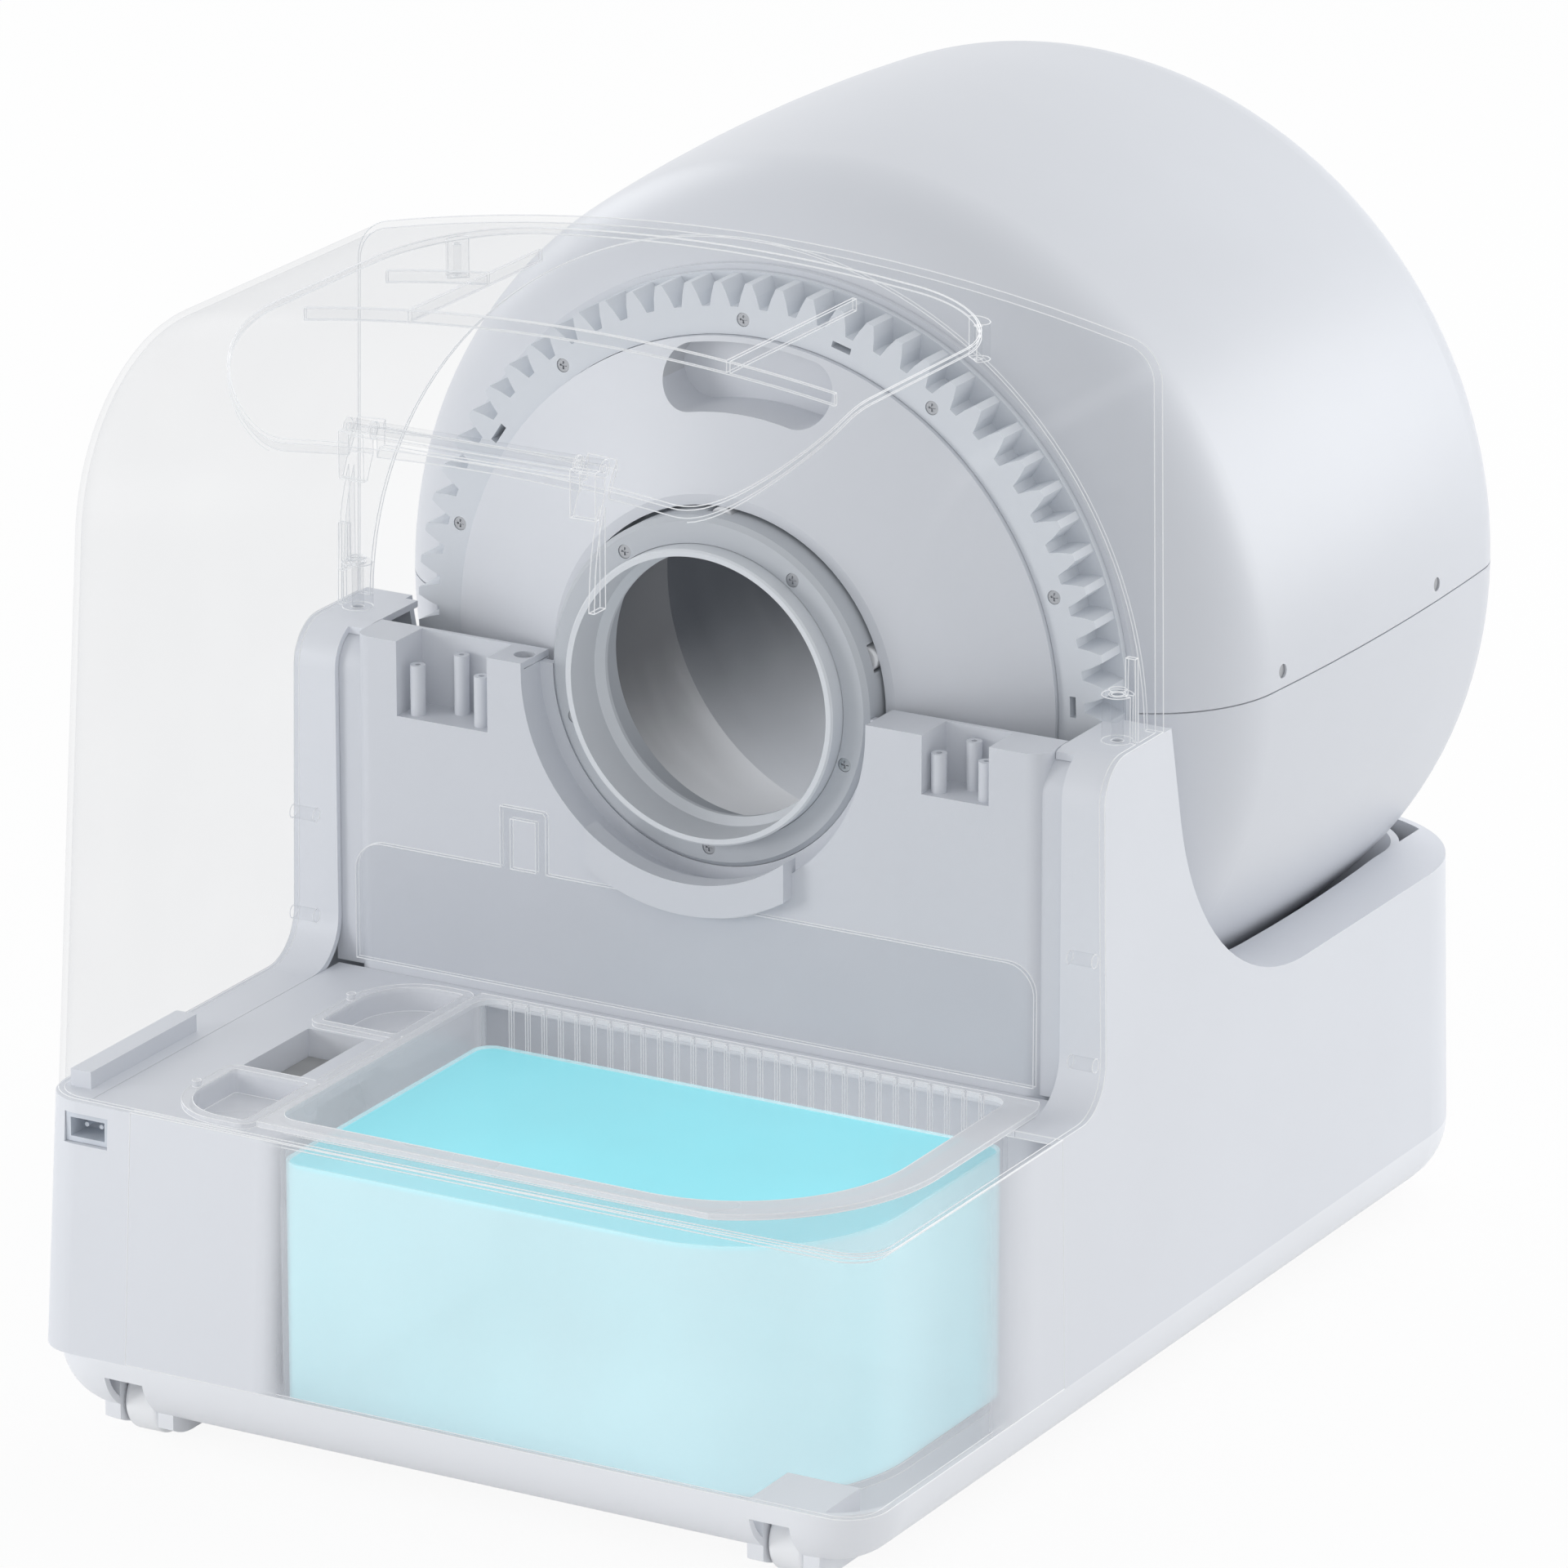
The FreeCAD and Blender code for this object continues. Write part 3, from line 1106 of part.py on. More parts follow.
def top_lid():
    skin = common(cover_shell(), lid_prism(0))
    rib_zone = cut(cover_solid(D.cover_wall / 2, COVER_LOW),
                   cover_solid(D.cover_wall + D.lid_rib, COVER_LOW - PAST))
    thick = D.lid_rib_thick
    tall = (COVER_TOP - D.lid_deep, COVER_TOP)
    side_ribs = mirrored(lambda side: box(centred(side * D.lid_rib_x, thick),
                                          (-D.lid_rib_front, -2 * D.lid_rear), tall))
    ribs = [box((-D.lid_rib_half, -D.lid_rib_x), centred(-D.lid_rib_rear, thick), tall),
            box((-D.lid_rib_half, D.lid_rib_half), centred(-D.lid_rib_front, thick), tall), *side_ribs]
    half = D.knuckle_half
    web = box((-half, half), (LID_FRONT, LID_FRONT + D.hinge_web),
              (HINGE_Z - D.knuckle - D.hinge_lift, HINGE_Z))
    bar = fuse(cylinder("x", (HINGE_Y, HINGE_Z), (-half, half), D.knuckle), web)
    notch = D.hinge_web + D.knuckle_gap
    notches = mirrored(lambda side: box(across(side, half, half + D.knuckle_long + 2 * D.knuckle_gap),
                                        (-BIG, LID_FRONT + notch), (0, BIG)))
    bore = cylinder("x", (HINGE_Y, HINGE_Z), (-BIG, BIG), D.pin_radius + D.run_gap)
    plate = cut(fuse(skin, common(fuse(*ribs), rib_zone)), *notches)
    return node("top_lid", cut(fuse(plate, bar), bore))


def lid_hinge_pin():
    half = D.knuckle_half + D.knuckle_gap + D.knuckle_long
    return node("lid_hinge_pin", cylinder("x", (HINGE_Y, HINGE_Z), (-half, half), D.pin_radius))


def cover_screws():
    top = POST_TOP + D.cover_gap + D.cover_boss_high
    pieces = []
    for side in (-1, 1):
        centre = post_screw_place(side)
        shank = cylinder("z", centre, (POST_TOP - D.screw_grip, top + D.screw_tall), D.post_screw)
        head = cylinder("z", centre, (top, top + D.screw_tall), D.post_screw + D.boss_hole)
        pieces.append(fuse(shank, head))
    return node("cover_screws", group(*pieces))


# Waste bin, liner and accessory tray.
WELLS = ((D.well_front_near, D.well_front_far), (D.well_back_near, D.well_back_far))


def bin_block(grow, low, high, back=0):
    """The bin's plan as a block, grown on every side: one large corner and three small ones."""
    block = box((D.bin_left - grow, D.bin_right + grow), (-D.bin_front - grow, grow - D.bin_back - back),
                (low, high))
    middle = GEAR_Y.value - (D.bin_front.value + D.bin_back.value) / 2

    def corner(edge):
        if not upright(edge):
            return None
        spot = edge.CenterOfMass
        return (D.bin_corner if spot.x > 0 and spot.y < middle else D.bin_small_corner) + grow

    return fillet(block, corner)


def waste_bin():
    rest = DECK + D.rest_gap
    top = rest + D.rim_thick
    cup = cut(bin_block(0, D.bin_bottom, top), bin_block(-D.bin_wall, D.bin_bottom + D.bin_wall, BIG))
    plate = cut(bin_block(D.rim_reach, rest, top), bin_block(-D.bin_wall, 0, BIG))
    limit = box((D.bin_left - D.rim_left, BIG), (-D.bin_front - D.rim_front, D.rim_back - D.bin_back),
                (0, BIG))
    first = D.bin_left + D.bin_small_corner
    pitch = (D.bin_right - D.bin_small_corner - first) / D.rib_count
    inner = -D.bin_back - D.bin_wall
    rib_y = (inner - D.rib_reach, inner + D.bin_wall / 2)
    ribs = [box(centred(first + (index + 0.5) * pitch, D.rib_thick), rib_y, (top - D.rib_drop, top))
            for index in range(int(D.rib_count.value))]
    return node("waste_bin", fuse(cup, common(plate, limit), *ribs))


def waste_liner():
    gap = -D.bin_wall - D.liner_gap
    low = D.bin_bottom + D.bin_wall + D.liner_gap
    cup = cut(bin_block(gap, low, DECK - D.liner_drop, D.rib_reach),
              bin_block(gap - D.liner_wall, low + D.liner_wall, BIG, D.rib_reach))
    return node("waste_liner", cup)


def well(near, far, inset, low, high):
    """The block of one accessory well, drawn in by the inset, with a large outer left corner."""
    block = box((D.tray_left + inset, D.tray_right - inset), (inset - far, -near - inset), (low, high))
    middle = (D.tray_left.value + D.tray_right.value) / 2
    away = abs(D.sensor_y.value - (near.value + far.value) / 2)

    def corner(edge):
        if not upright(edge):
            return None
        spot = edge.CenterOfMass
        outer = spot.x < middle and abs(spot.y - GEAR_Y.value + D.sensor_y.value) > away
        return (D.well_round if outer else D.well_corner) - inset

    return fillet(block, corner)


def accessory_tray():
    rest = DECK + D.tray_gap
    top = rest + D.rim_thick
    cup_inset = PAST + D.well_gap
    room_inset = cup_inset + D.tray_wall
    solids = []
    rooms = []
    for near, far in WELLS:
        solids.append(well(near, far, cup_inset, rest - D.well_depth, top))
        solids.append(well(near, far, -D.tray_flange, rest, top))
        rooms.append(well(near, far, room_inset, rest - D.well_depth + D.tray_wall, BIG))
        peg = (D.tray_left + D.well_gap, -(near + far) / 2)
        solids.append(cylinder("z", peg, (rest, top + D.tray_peg_high), D.tray_peg))
    right = D.tray_right + D.tray_flange
    bridge = box((right - D.tray_bridge, right),
                 (-D.well_front_near - D.tray_flange, D.tray_flange - D.well_back_far), (rest, top))
    return node("accessory_tray", cut(fuse(*solids, bridge), *rooms))


# Running gear, cradle rollers and fan.
def wheels():
    axles = []
    for side, name in ((-1, "left"), (1, "right")):
        middle = side * D.wheel_x
        centre = (-D.wheel_y, D.wheel_radius)
        tyre = cylinder("x", centre, centred(middle, D.wheel_width), D.wheel_radius)
        rounded = fillet(tyre, lambda edge: D.wheel_round if edge.Closed else None)
        bore = cylinder("x", centre, (-BIG, BIG), D.axle_radius + D.run_gap)
        node(f"transport_wheel_{name}", cut(rounded, bore))
        axles.append(cylinder("x", centre, axle_span(middle), D.axle_radius))
    node("wheel_axles", group(*axles))


def rubber_feet():
    feet = [cone("z", (side * D.foot_x, y), (0, D.pan_bottom), D.foot_radius - D.foot_taper, D.foot_radius)
            for side in (-1, 1) for y in (-D.foot_front, D.foot_rear)]
    return node("rubber_feet", group(*feet))


def cradle_place():
    """The right cradle roller's axle: its distance from the middle and its height."""
    orbit = barrel_radius(D.cradle_y - D.cradle_width / 2) + D.cradle_gap + D.cradle_radius
    angle = math.radians(D.cradle_angle.value)
    return orbit * math.cos(angle), AXIS - orbit * math.sin(angle)


def cradle_rollers():
    x, z = cradle_place()
    span = centred(D.cradle_y, D.cradle_width)
    slot_y = (span[0] - D.cradle_side, span[1] + D.cradle_side)
    outer = (slot_y[0] - D.cradle_ear, slot_y[1] + D.cradle_ear)
    axles = []
    stands = []
    for side, name in ((-1, "left"), (1, "right")):
        centre = (side * x, z)
        node(f"cradle_roller_{name}", ring("y", centre, span, D.cradle_radius, D.axle_radius + D.run_gap))
        axles.append(cylinder("y", centre, outer, D.axle_radius))
        block = box(centred(centre[0], 2 * D.cradle_radius), outer, (PAN_FLOOR, z + D.cradle_ear_rise))
        slot = box((centre[0] - 2 * D.cradle_radius, centre[0] + 2 * D.cradle_radius), slot_y,
                   (z - D.cradle_radius - D.arch_wall, BIG))
        stands.append(cut(block, slot, cylinder("y", centre, (-BIG, BIG), D.axle_radius)))
    node("cradle_axles", group(*axles))
    node("cradle_stands", group(*stands))


def fan():
    y = -D.fan_y
    z = D.fan_z
    x = D.fan_x
    plate = x + D.fan_plate
    mouth = x + D.fan_depth
    bore = D.rotor_radius + D.fan_gap
    square = box((x, mouth), centred(y, D.fan_size), centred(z, D.fan_size))
    spider = [box((x, plate), centred(y, D.fan_spoke), centred(z, D.fan_size)),
              box((x, plate), centred(y, D.fan_size), centred(z, D.fan_spoke)),
              cylinder("x", (y, z), (x, plate), D.fan_hub)]
    pin = cylinder("x", (y, z), (x, mouth - 2 * D.fan_plate), D.fan_pin)
    foot = box((x, mouth), centred(y, D.fan_size), (PAN_FLOOR, z - D.fan_size / 2))
    frame = cut(square, cylinder("x", (y, z), (-BIG, BIG), bore))
    node("fan_frame", fuse(frame, *spider, pin, foot))
    near = plate + D.side_gap
    far = mouth - D.side_gap
    hub = cut(cylinder("x", (y, z), (near, far), D.fan_hub),
              cylinder("x", (y, z), (-BIG, mouth - 2 * D.fan_plate + D.run_gap), D.fan_pin + D.run_gap))
    blades = []
    for index in range(int(D.fan_blades.value)):
        blade = fresh("Part::Box", "blade")
        bind(blade, Length=far - near, Width=D.blade_thick, Height=D.rotor_radius - D.fan_hub / 2)
        bind_corner(blade, 0, -D.blade_thick / 2, D.fan_hub / 2)
        blades.append(place(group(blade), near, y, z, ((1, 0, 0), 360.0 * index / D.fan_blades.value)))
    node("fan_rotor", fuse(hub, *blades))


def main():
    for build in (base_shell, bottom_pan, front_panel, drum_tray, bin_deck, sensor_window, power_inlet,
                  bulkhead, splash_guard, bearing_collar, collar_screws, hub_rollers, roller_pins,
                  waste_nozzle, drum_shells, seam_screws, drum_end_cap, bull_gear, gear_screws, waste_chute,
                  sieve_plate, entrance_ring, drive_pinion, drive_motor, motor_bracket, control_board,
                  service_cover, top_lid, lid_hinge_pin, cover_screws, waste_bin, waste_liner,
                  accessory_tray, wheels, rubber_feet, cradle_rollers, fan):
        build()
    doc.recompute()
    for item in doc.Objects:
        if "Invalid" in item.State or "Error" in item.State:
            raise RuntimeError(f"{item.Name} failed: {item.State}")
    for item in nodes:
        if item.Shape.isNull() or not item.Shape.isValid() or not item.Shape.Solids:
            raise RuntimeError(f"{item.Label} has no valid solid")
    os.makedirs("parts", exist_ok=True)
    for item in nodes:
        item.Shape.exportStep(f"parts/{item.Label}.step")
        print(item.Label, len(item.Shape.Solids), round(item.Shape.Volume / 1000.0, 1))


main()
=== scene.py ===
"""Self-cleaning litter box: finishes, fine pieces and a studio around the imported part."""
import json
import math

import bpy
import numpy as np
from bpy.props import FloatProperty, FloatVectorProperty, PointerProperty
from mathutils import Matrix, Vector

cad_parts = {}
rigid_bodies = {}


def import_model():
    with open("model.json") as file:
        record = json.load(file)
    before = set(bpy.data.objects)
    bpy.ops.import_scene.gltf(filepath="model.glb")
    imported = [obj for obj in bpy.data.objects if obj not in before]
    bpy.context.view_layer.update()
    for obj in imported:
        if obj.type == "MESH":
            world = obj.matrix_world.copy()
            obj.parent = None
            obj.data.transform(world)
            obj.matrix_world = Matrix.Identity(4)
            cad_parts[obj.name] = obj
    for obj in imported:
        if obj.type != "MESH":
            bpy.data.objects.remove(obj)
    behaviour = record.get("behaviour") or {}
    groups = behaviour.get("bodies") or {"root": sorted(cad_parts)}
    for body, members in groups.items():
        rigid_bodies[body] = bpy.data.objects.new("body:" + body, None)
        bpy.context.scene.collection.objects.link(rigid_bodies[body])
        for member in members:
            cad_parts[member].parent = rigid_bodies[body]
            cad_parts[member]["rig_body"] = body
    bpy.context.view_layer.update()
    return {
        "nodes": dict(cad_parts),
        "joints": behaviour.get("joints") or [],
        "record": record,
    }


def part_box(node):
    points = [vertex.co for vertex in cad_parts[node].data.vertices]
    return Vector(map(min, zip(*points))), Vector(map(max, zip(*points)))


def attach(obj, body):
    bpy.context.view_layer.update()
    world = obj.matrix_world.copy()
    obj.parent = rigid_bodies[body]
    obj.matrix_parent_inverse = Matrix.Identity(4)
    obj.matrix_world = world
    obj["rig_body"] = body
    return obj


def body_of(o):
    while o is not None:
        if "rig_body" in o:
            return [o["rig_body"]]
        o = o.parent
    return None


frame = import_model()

bl_info = {
    "name": "Self-cleaning litter box",
    "version": (1, 0, 0),
    "blender": (4, 5, 0),
    "location": "3D View > Sidebar > Litter box",
    "description": "Finishes and fine pieces for a litter box with a turning drum, and its studio",
    "category": "Object",
}

NODES = frame["nodes"]
SLOT_OF = {row["node"]: row["material_slot"] for row in frame["record"]["subparts"]}
DECK_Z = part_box("bin_deck")[1].z
BIN_SIDE_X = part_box("waste_liner")[0].x - 0.001
DRUM_AXIS_Z = next(joint for joint in frame["joints"] if joint["name"] == "drum_spin")["pos_m"][2]
BLACK = (0.0, 0.0, 0.0, 1.0)
WHITE = (1.0, 1.0, 1.0, 1.0)


# Shader arithmetic

class Socket:
    """A node's output in a formula: every operator on it adds one Math node."""

    def __init__(self, finish, output):
        self.finish = finish
        self.output = output

    def math(self, operation, *values):
        return self.finish.node("ShaderNodeMath", {"operation": operation}, dict(enumerate(values)))

    def __add__(self, other):
        return self.math("ADD", self, other)

    def __radd__(self, other):
        return self.math("ADD", other, self)

    def __sub__(self, other):
        return self.math("SUBTRACT", self, other)

    def __rsub__(self, other):
        return self.math("SUBTRACT", other, self)

    def __mul__(self, other):
        return self.math("MULTIPLY", self, other)

    def __rmul__(self, other):
        return self.math("MULTIPLY", other, self)

    def __truediv__(self, other):
        return self.math("DIVIDE", self, other)

    def __pow__(self, other):
        return self.math("POWER", self, other)

    def larger(self, other):
        return self.math("MAXIMUM", self, other)

    def within(self, low=0.0, high=1.0):
        return self.math("MINIMUM", self.larger(low), high)


class Finish:
    """The nodes of one material or world: a shader and what feeds it."""

    def __init__(self, owner):
        self.owner = owner
        owner.use_nodes = True
        self.tree = owner.node_tree
        self.tree.nodes.clear()

    def node(self, kind, settings=None, values=None, output=0):
        """Adds a node, its settings first and then its sockets' values or links, and gives one output."""
        made = self.tree.nodes.new(kind)
        for name, setting in (settings or {}).items():
            setattr(made, name, setting)
        for name, value in (values or {}).items():
            if isinstance(value, Socket):
                self.tree.links.new(value.output, made.inputs[name])
            else:
                made.inputs[name].default_value = value
        return Socket(self, made.outputs[output])

    def place(self):
        return self.node("ShaderNodeTexCoord", output="Object")

    def parts(self, vector):
        """The three numbers of a vector."""
        split = self.node("ShaderNodeSeparateXYZ", None, {0: vector}).output.node
        return [Socket(self, output) for output in split.outputs]

    def noise(self, scale, detail, roughness=0.5):
        values = {"Vector": self.place(), "Scale": scale, "Detail": detail, "Roughness": roughness}
        return self.node("ShaderNodeTexNoise", None, values, "Fac")

    def mix(self, share, first, second):
        """A colour between two colours."""
        return self.node("ShaderNodeMix", {"data_type": "RGBA"}, {0: share, 6: first, 7: second}, 2)

    def bump(self, height, strength, distance):
        values = {"Height": height, "Strength": strength, "Distance": distance}
        return self.node("ShaderNodeBump", None, values, "Normal")

    def shade(self, **sockets):
        """The Principled shader as the surface, with socket names written with underscores."""
        values = {name.replace("_", " "): value for name, value in sockets.items()}
        return self.surface(self.node("ShaderNodeBsdfPrincipled", None, values), "ShaderNodeOutputMaterial")

    def surface(self, shader, kind):
        """Links a shader to an output node of that kind, and gives the material or world."""
        out = self.tree.nodes.new(kind)
        self.tree.links.new(shader.output, out.inputs["Surface"])
        return self.owner


def new_finish(name):
    return Finish(bpy.data.materials.new(name))


def rgba(colour, scale=1.0):
    return (*(min(1.0, scale * part) for part in colour), 1.0)


# Finishes

GRAIN_SCALE = 1400.0
GRAIN_DEPTH = 0.0002
DRIFT_SCALE = 7.0
DRIFT_SHARE = 0.03
CLEAR_BLEND = 0.35
FLOW_SCALE = 24.0
SHADE_SHARE = 0.03
# Noise scale and waver of the border between painted shade and painted light inside the drum and chute
PAINTED_LIGHT_SCALE = 18.0
PAINTED_LIGHT_WAVER = 0.02
INWARD_LIMIT = -0.02
PANEL_LEFT = (-0.088, -0.110)
PANEL_RIGHT = (0.232, 0.238)
PANEL_BACK = (-0.240, -0.170)
RIM_MILK = 0.7
RIM_HEIGHTS = (DECK_Z - 0.0002, DECK_Z + 0.0004)
SIDE_MILK = 0.6
SIDE_PLACES = (BIN_SIDE_X + 0.003, BIN_SIDE_X + 0.001)
TRAY_MILK = 0.35
SCRATCH_SCALE = (3000.0, 260.0, 3000.0)
SCRATCH_DEPTH = 0.0001
HAZE_SCALE = 90.0
BLOOM_SCALE = 60.0
RUBBER_GRAIN_SCALE = 2200.0
TRACK_SCALE = 60.0
RIPPLE_SCALE = 14.0
RIPPLE_DEPTH = 0.0005


def satin(name, colour, roughness, grain, gloss=0.4, painted_inside=None, painted_inner_emission=0.0):
    """Moulded plastic: a spark-eroded grain in bump and gloss, and a slow drift of its colour. The painted
    inside, if given, holds a painted shade colour and a painted light colour for the faces that look to the
    drum's axis, and the depths and lean between them. The inner emission is painted light on those faces,
    lower down."""
    finish = new_finish(name)
    drifting = finish.noise(DRIFT_SCALE, 3.0)
    skin = finish.noise(GRAIN_SCALE, 2.0, 0.6)
    base = finish.mix(drifting, rgba(colour, 1 - DRIFT_SHARE), rgba(colour, 1 + DRIFT_SHARE))
    passed = {}
    if painted_inside:
        inside = inward(finish)
        shaded_colour, lit_colour, *reach = painted_inside
        base = finish.mix(inside, base, painted_light_below(finish, shaded_colour, lit_colour, *reach))
        # Painted light: emission in the lit colour on the inside faces, lower down, where no lamp is
        passed["Emission_Color"] = finish.mix(inside, BLACK, painted_light_below(finish, BLACK[:3], lit_colour, *reach))
        passed["Emission_Strength"] = painted_inner_emission
    return finish.shade(Base_Color=base, Roughness=roughness - 0.05 + 0.1 * skin, Specular_IOR_Level=gloss,
                        Normal=finish.bump(skin, grain, GRAIN_DEPTH), **passed)


def clear_plastic(name, colour, veil, rim, roughness, milk=None, cloud=None):
    """Clear moulded plastic: a thin veil, denser where the wall is seen aslant. Milk is the colour of its
    milky zones, and cloud a function of the finish that gives how milky it is at each place."""
    finish = new_finish(name)
    aslant = finish.node("ShaderNodeLayerWeight", None, {"Blend": CLEAR_BLEND}, "Facing")
    flow = finish.noise(FLOW_SCALE, 0.0)
    cover = veil * (0.85 + 0.3 * flow) + rim * aslant ** 3
    base = finish.mix(flow, rgba(colour, 1 - SHADE_SHARE), rgba(colour, 1 + SHADE_SHARE))
    if cloud:
        milky = cloud(finish)
        cover = cover + (1 - cover) * milky
        base = finish.mix(milky, base, rgba(milk))
    return finish.shade(Base_Color=base, Roughness=roughness + 0.06 * flow, Alpha=cover.within())


def ramp(value, start, end):
    """Nought at the start, one at the end, smooth between them."""
    share = ((value - start) / (end - start)).within()
    return share * share * (3 - 2 * share)


def painted_light_below(finish, shaded_colour, lit_colour, start, end, lean):
    """Painted shade above and painted light below, between two depths under the drum's axis, their border
    wavering a little. Lean turns the depth towards the right, so the painted light reaches higher on the
    right."""
    across, _, up = finish.parts(finish.place())
    depth = DRUM_AXIS_Z - up + lean * across + PAINTED_LIGHT_WAVER * finish.noise(PAINTED_LIGHT_SCALE, 2.0)
    return finish.mix(ramp(depth, start, end), rgba(shaded_colour), rgba(lit_colour))


def inward(finish):
    """One on the faces that look to the drum's axis, and none on the rest."""
    across, _, up = finish.parts(finish.place())
    aside, _, above = finish.parts(finish.node("ShaderNodeTexCoord", output="Normal"))
    outward = across * aside + (up - DRUM_AXIS_Z) * above
    return outward.math("LESS_THAN", outward, INWARD_LIMIT)


def panel_ends(finish):
    """The front panel's milky ends: it turns opaque to the left of the bin and along its right side wall."""
    across, along, _ = finish.parts(finish.place())
    return ramp(across, *PANEL_LEFT).larger(ramp(across, *PANEL_RIGHT) * ramp(along, *PANEL_BACK))


def rim_band(finish):
    """The milky parts of the bin: all that stands above the deck, and its left side."""
    across, _, up = finish.parts(finish.place())
    return (RIM_MILK * ramp(up, *RIM_HEIGHTS)).larger(SIDE_MILK * ramp(across, *SIDE_PLACES))


def tray_wells(finish):
    """The milky tray: its rim most, and its wells about half as much."""
    return TRAY_MILK + TRAY_MILK * rim_band(finish)


def metal(name, colour, roughness, scratch):
    """Plated steel: fine drawn scratches in gloss and bump."""
    finish = new_finish(name)
    stretch = finish.node("ShaderNodeMapping", None, {"Vector": finish.place(), "Scale": SCRATCH_SCALE})
    lines = finish.node("ShaderNodeTexNoise", None, {"Vector": stretch, "Scale": 1.0, "Detail": 3.0}, "Fac")
    base = finish.mix(lines, rgba(colour, 0.9), rgba(colour, 1.06))
    return finish.shade(Base_Color=base, Metallic=1.0, Roughness=roughness + scratch * lines,
                        Normal=finish.bump(lines, 0.05, SCRATCH_DEPTH))


def dark_window(name, colour, roughness):
    """Tinted pane or socket: deep gloss with a little haze."""
    finish = new_finish(name)
    haze = finish.noise(HAZE_SCALE, 3.0)
    base = finish.mix(haze, rgba(colour, 0.85), rgba(colour, 1.2))
    return finish.shade(Base_Color=base, Roughness=roughness + 0.1 * haze, Coat_Weight=0.4 + 0.2 * haze)


def rubber(name, colour):
    """Matt rubber with a dusty skin."""
    finish = new_finish(name)
    bloom = finish.noise(BLOOM_SCALE, 4.0)
    skin = finish.noise(RUBBER_GRAIN_SCALE, 2.0)
    base = finish.mix(bloom, rgba(colour, 0.8), rgba(colour, 1.3))
    return finish.shade(Base_Color=base, Roughness=0.75 + 0.15 * bloom,
                        Normal=finish.bump(skin, 0.15, GRAIN_DEPTH))


def board(name, colour, trace):
    """Circuit board: lacquer over tracks that show as a lighter brick course."""
    finish = new_finish(name)
    values = {"Vector": finish.place(), "Scale": TRACK_SCALE, "Mortar Size": 0.03}
    tracks = finish.node("ShaderNodeTexBrick", {"offset": 0.37}, values, "Fac")
    base = finish.mix(tracks, rgba(colour), rgba(trace))
    return finish.shade(Base_Color=base, Roughness=0.35 + 0.15 * tracks, Coat_Weight=0.3)


def film(name, colour, veil, painted_glow):
    """Tinted film of the waste liner: an even tint, rippled a little, with an emission in that tint as
    painted light.
    """
    finish = new_finish(name)
    ripple = finish.noise(RIPPLE_SCALE, 1.0)
    base = finish.mix(ripple, rgba(colour, 1 - SHADE_SHARE), rgba(colour, 1 + SHADE_SHARE))
    cover = veil * (0.94 + 0.12 * ripple)
    return finish.shade(Base_Color=base, Roughness=0.3 + 0.1 * ripple, Alpha=cover.within(),
                        Emission_Color=base, Emission_Strength=painted_glow,
                        Normal=finish.bump(ripple, 0.02, RIPPLE_DEPTH))


# Properties

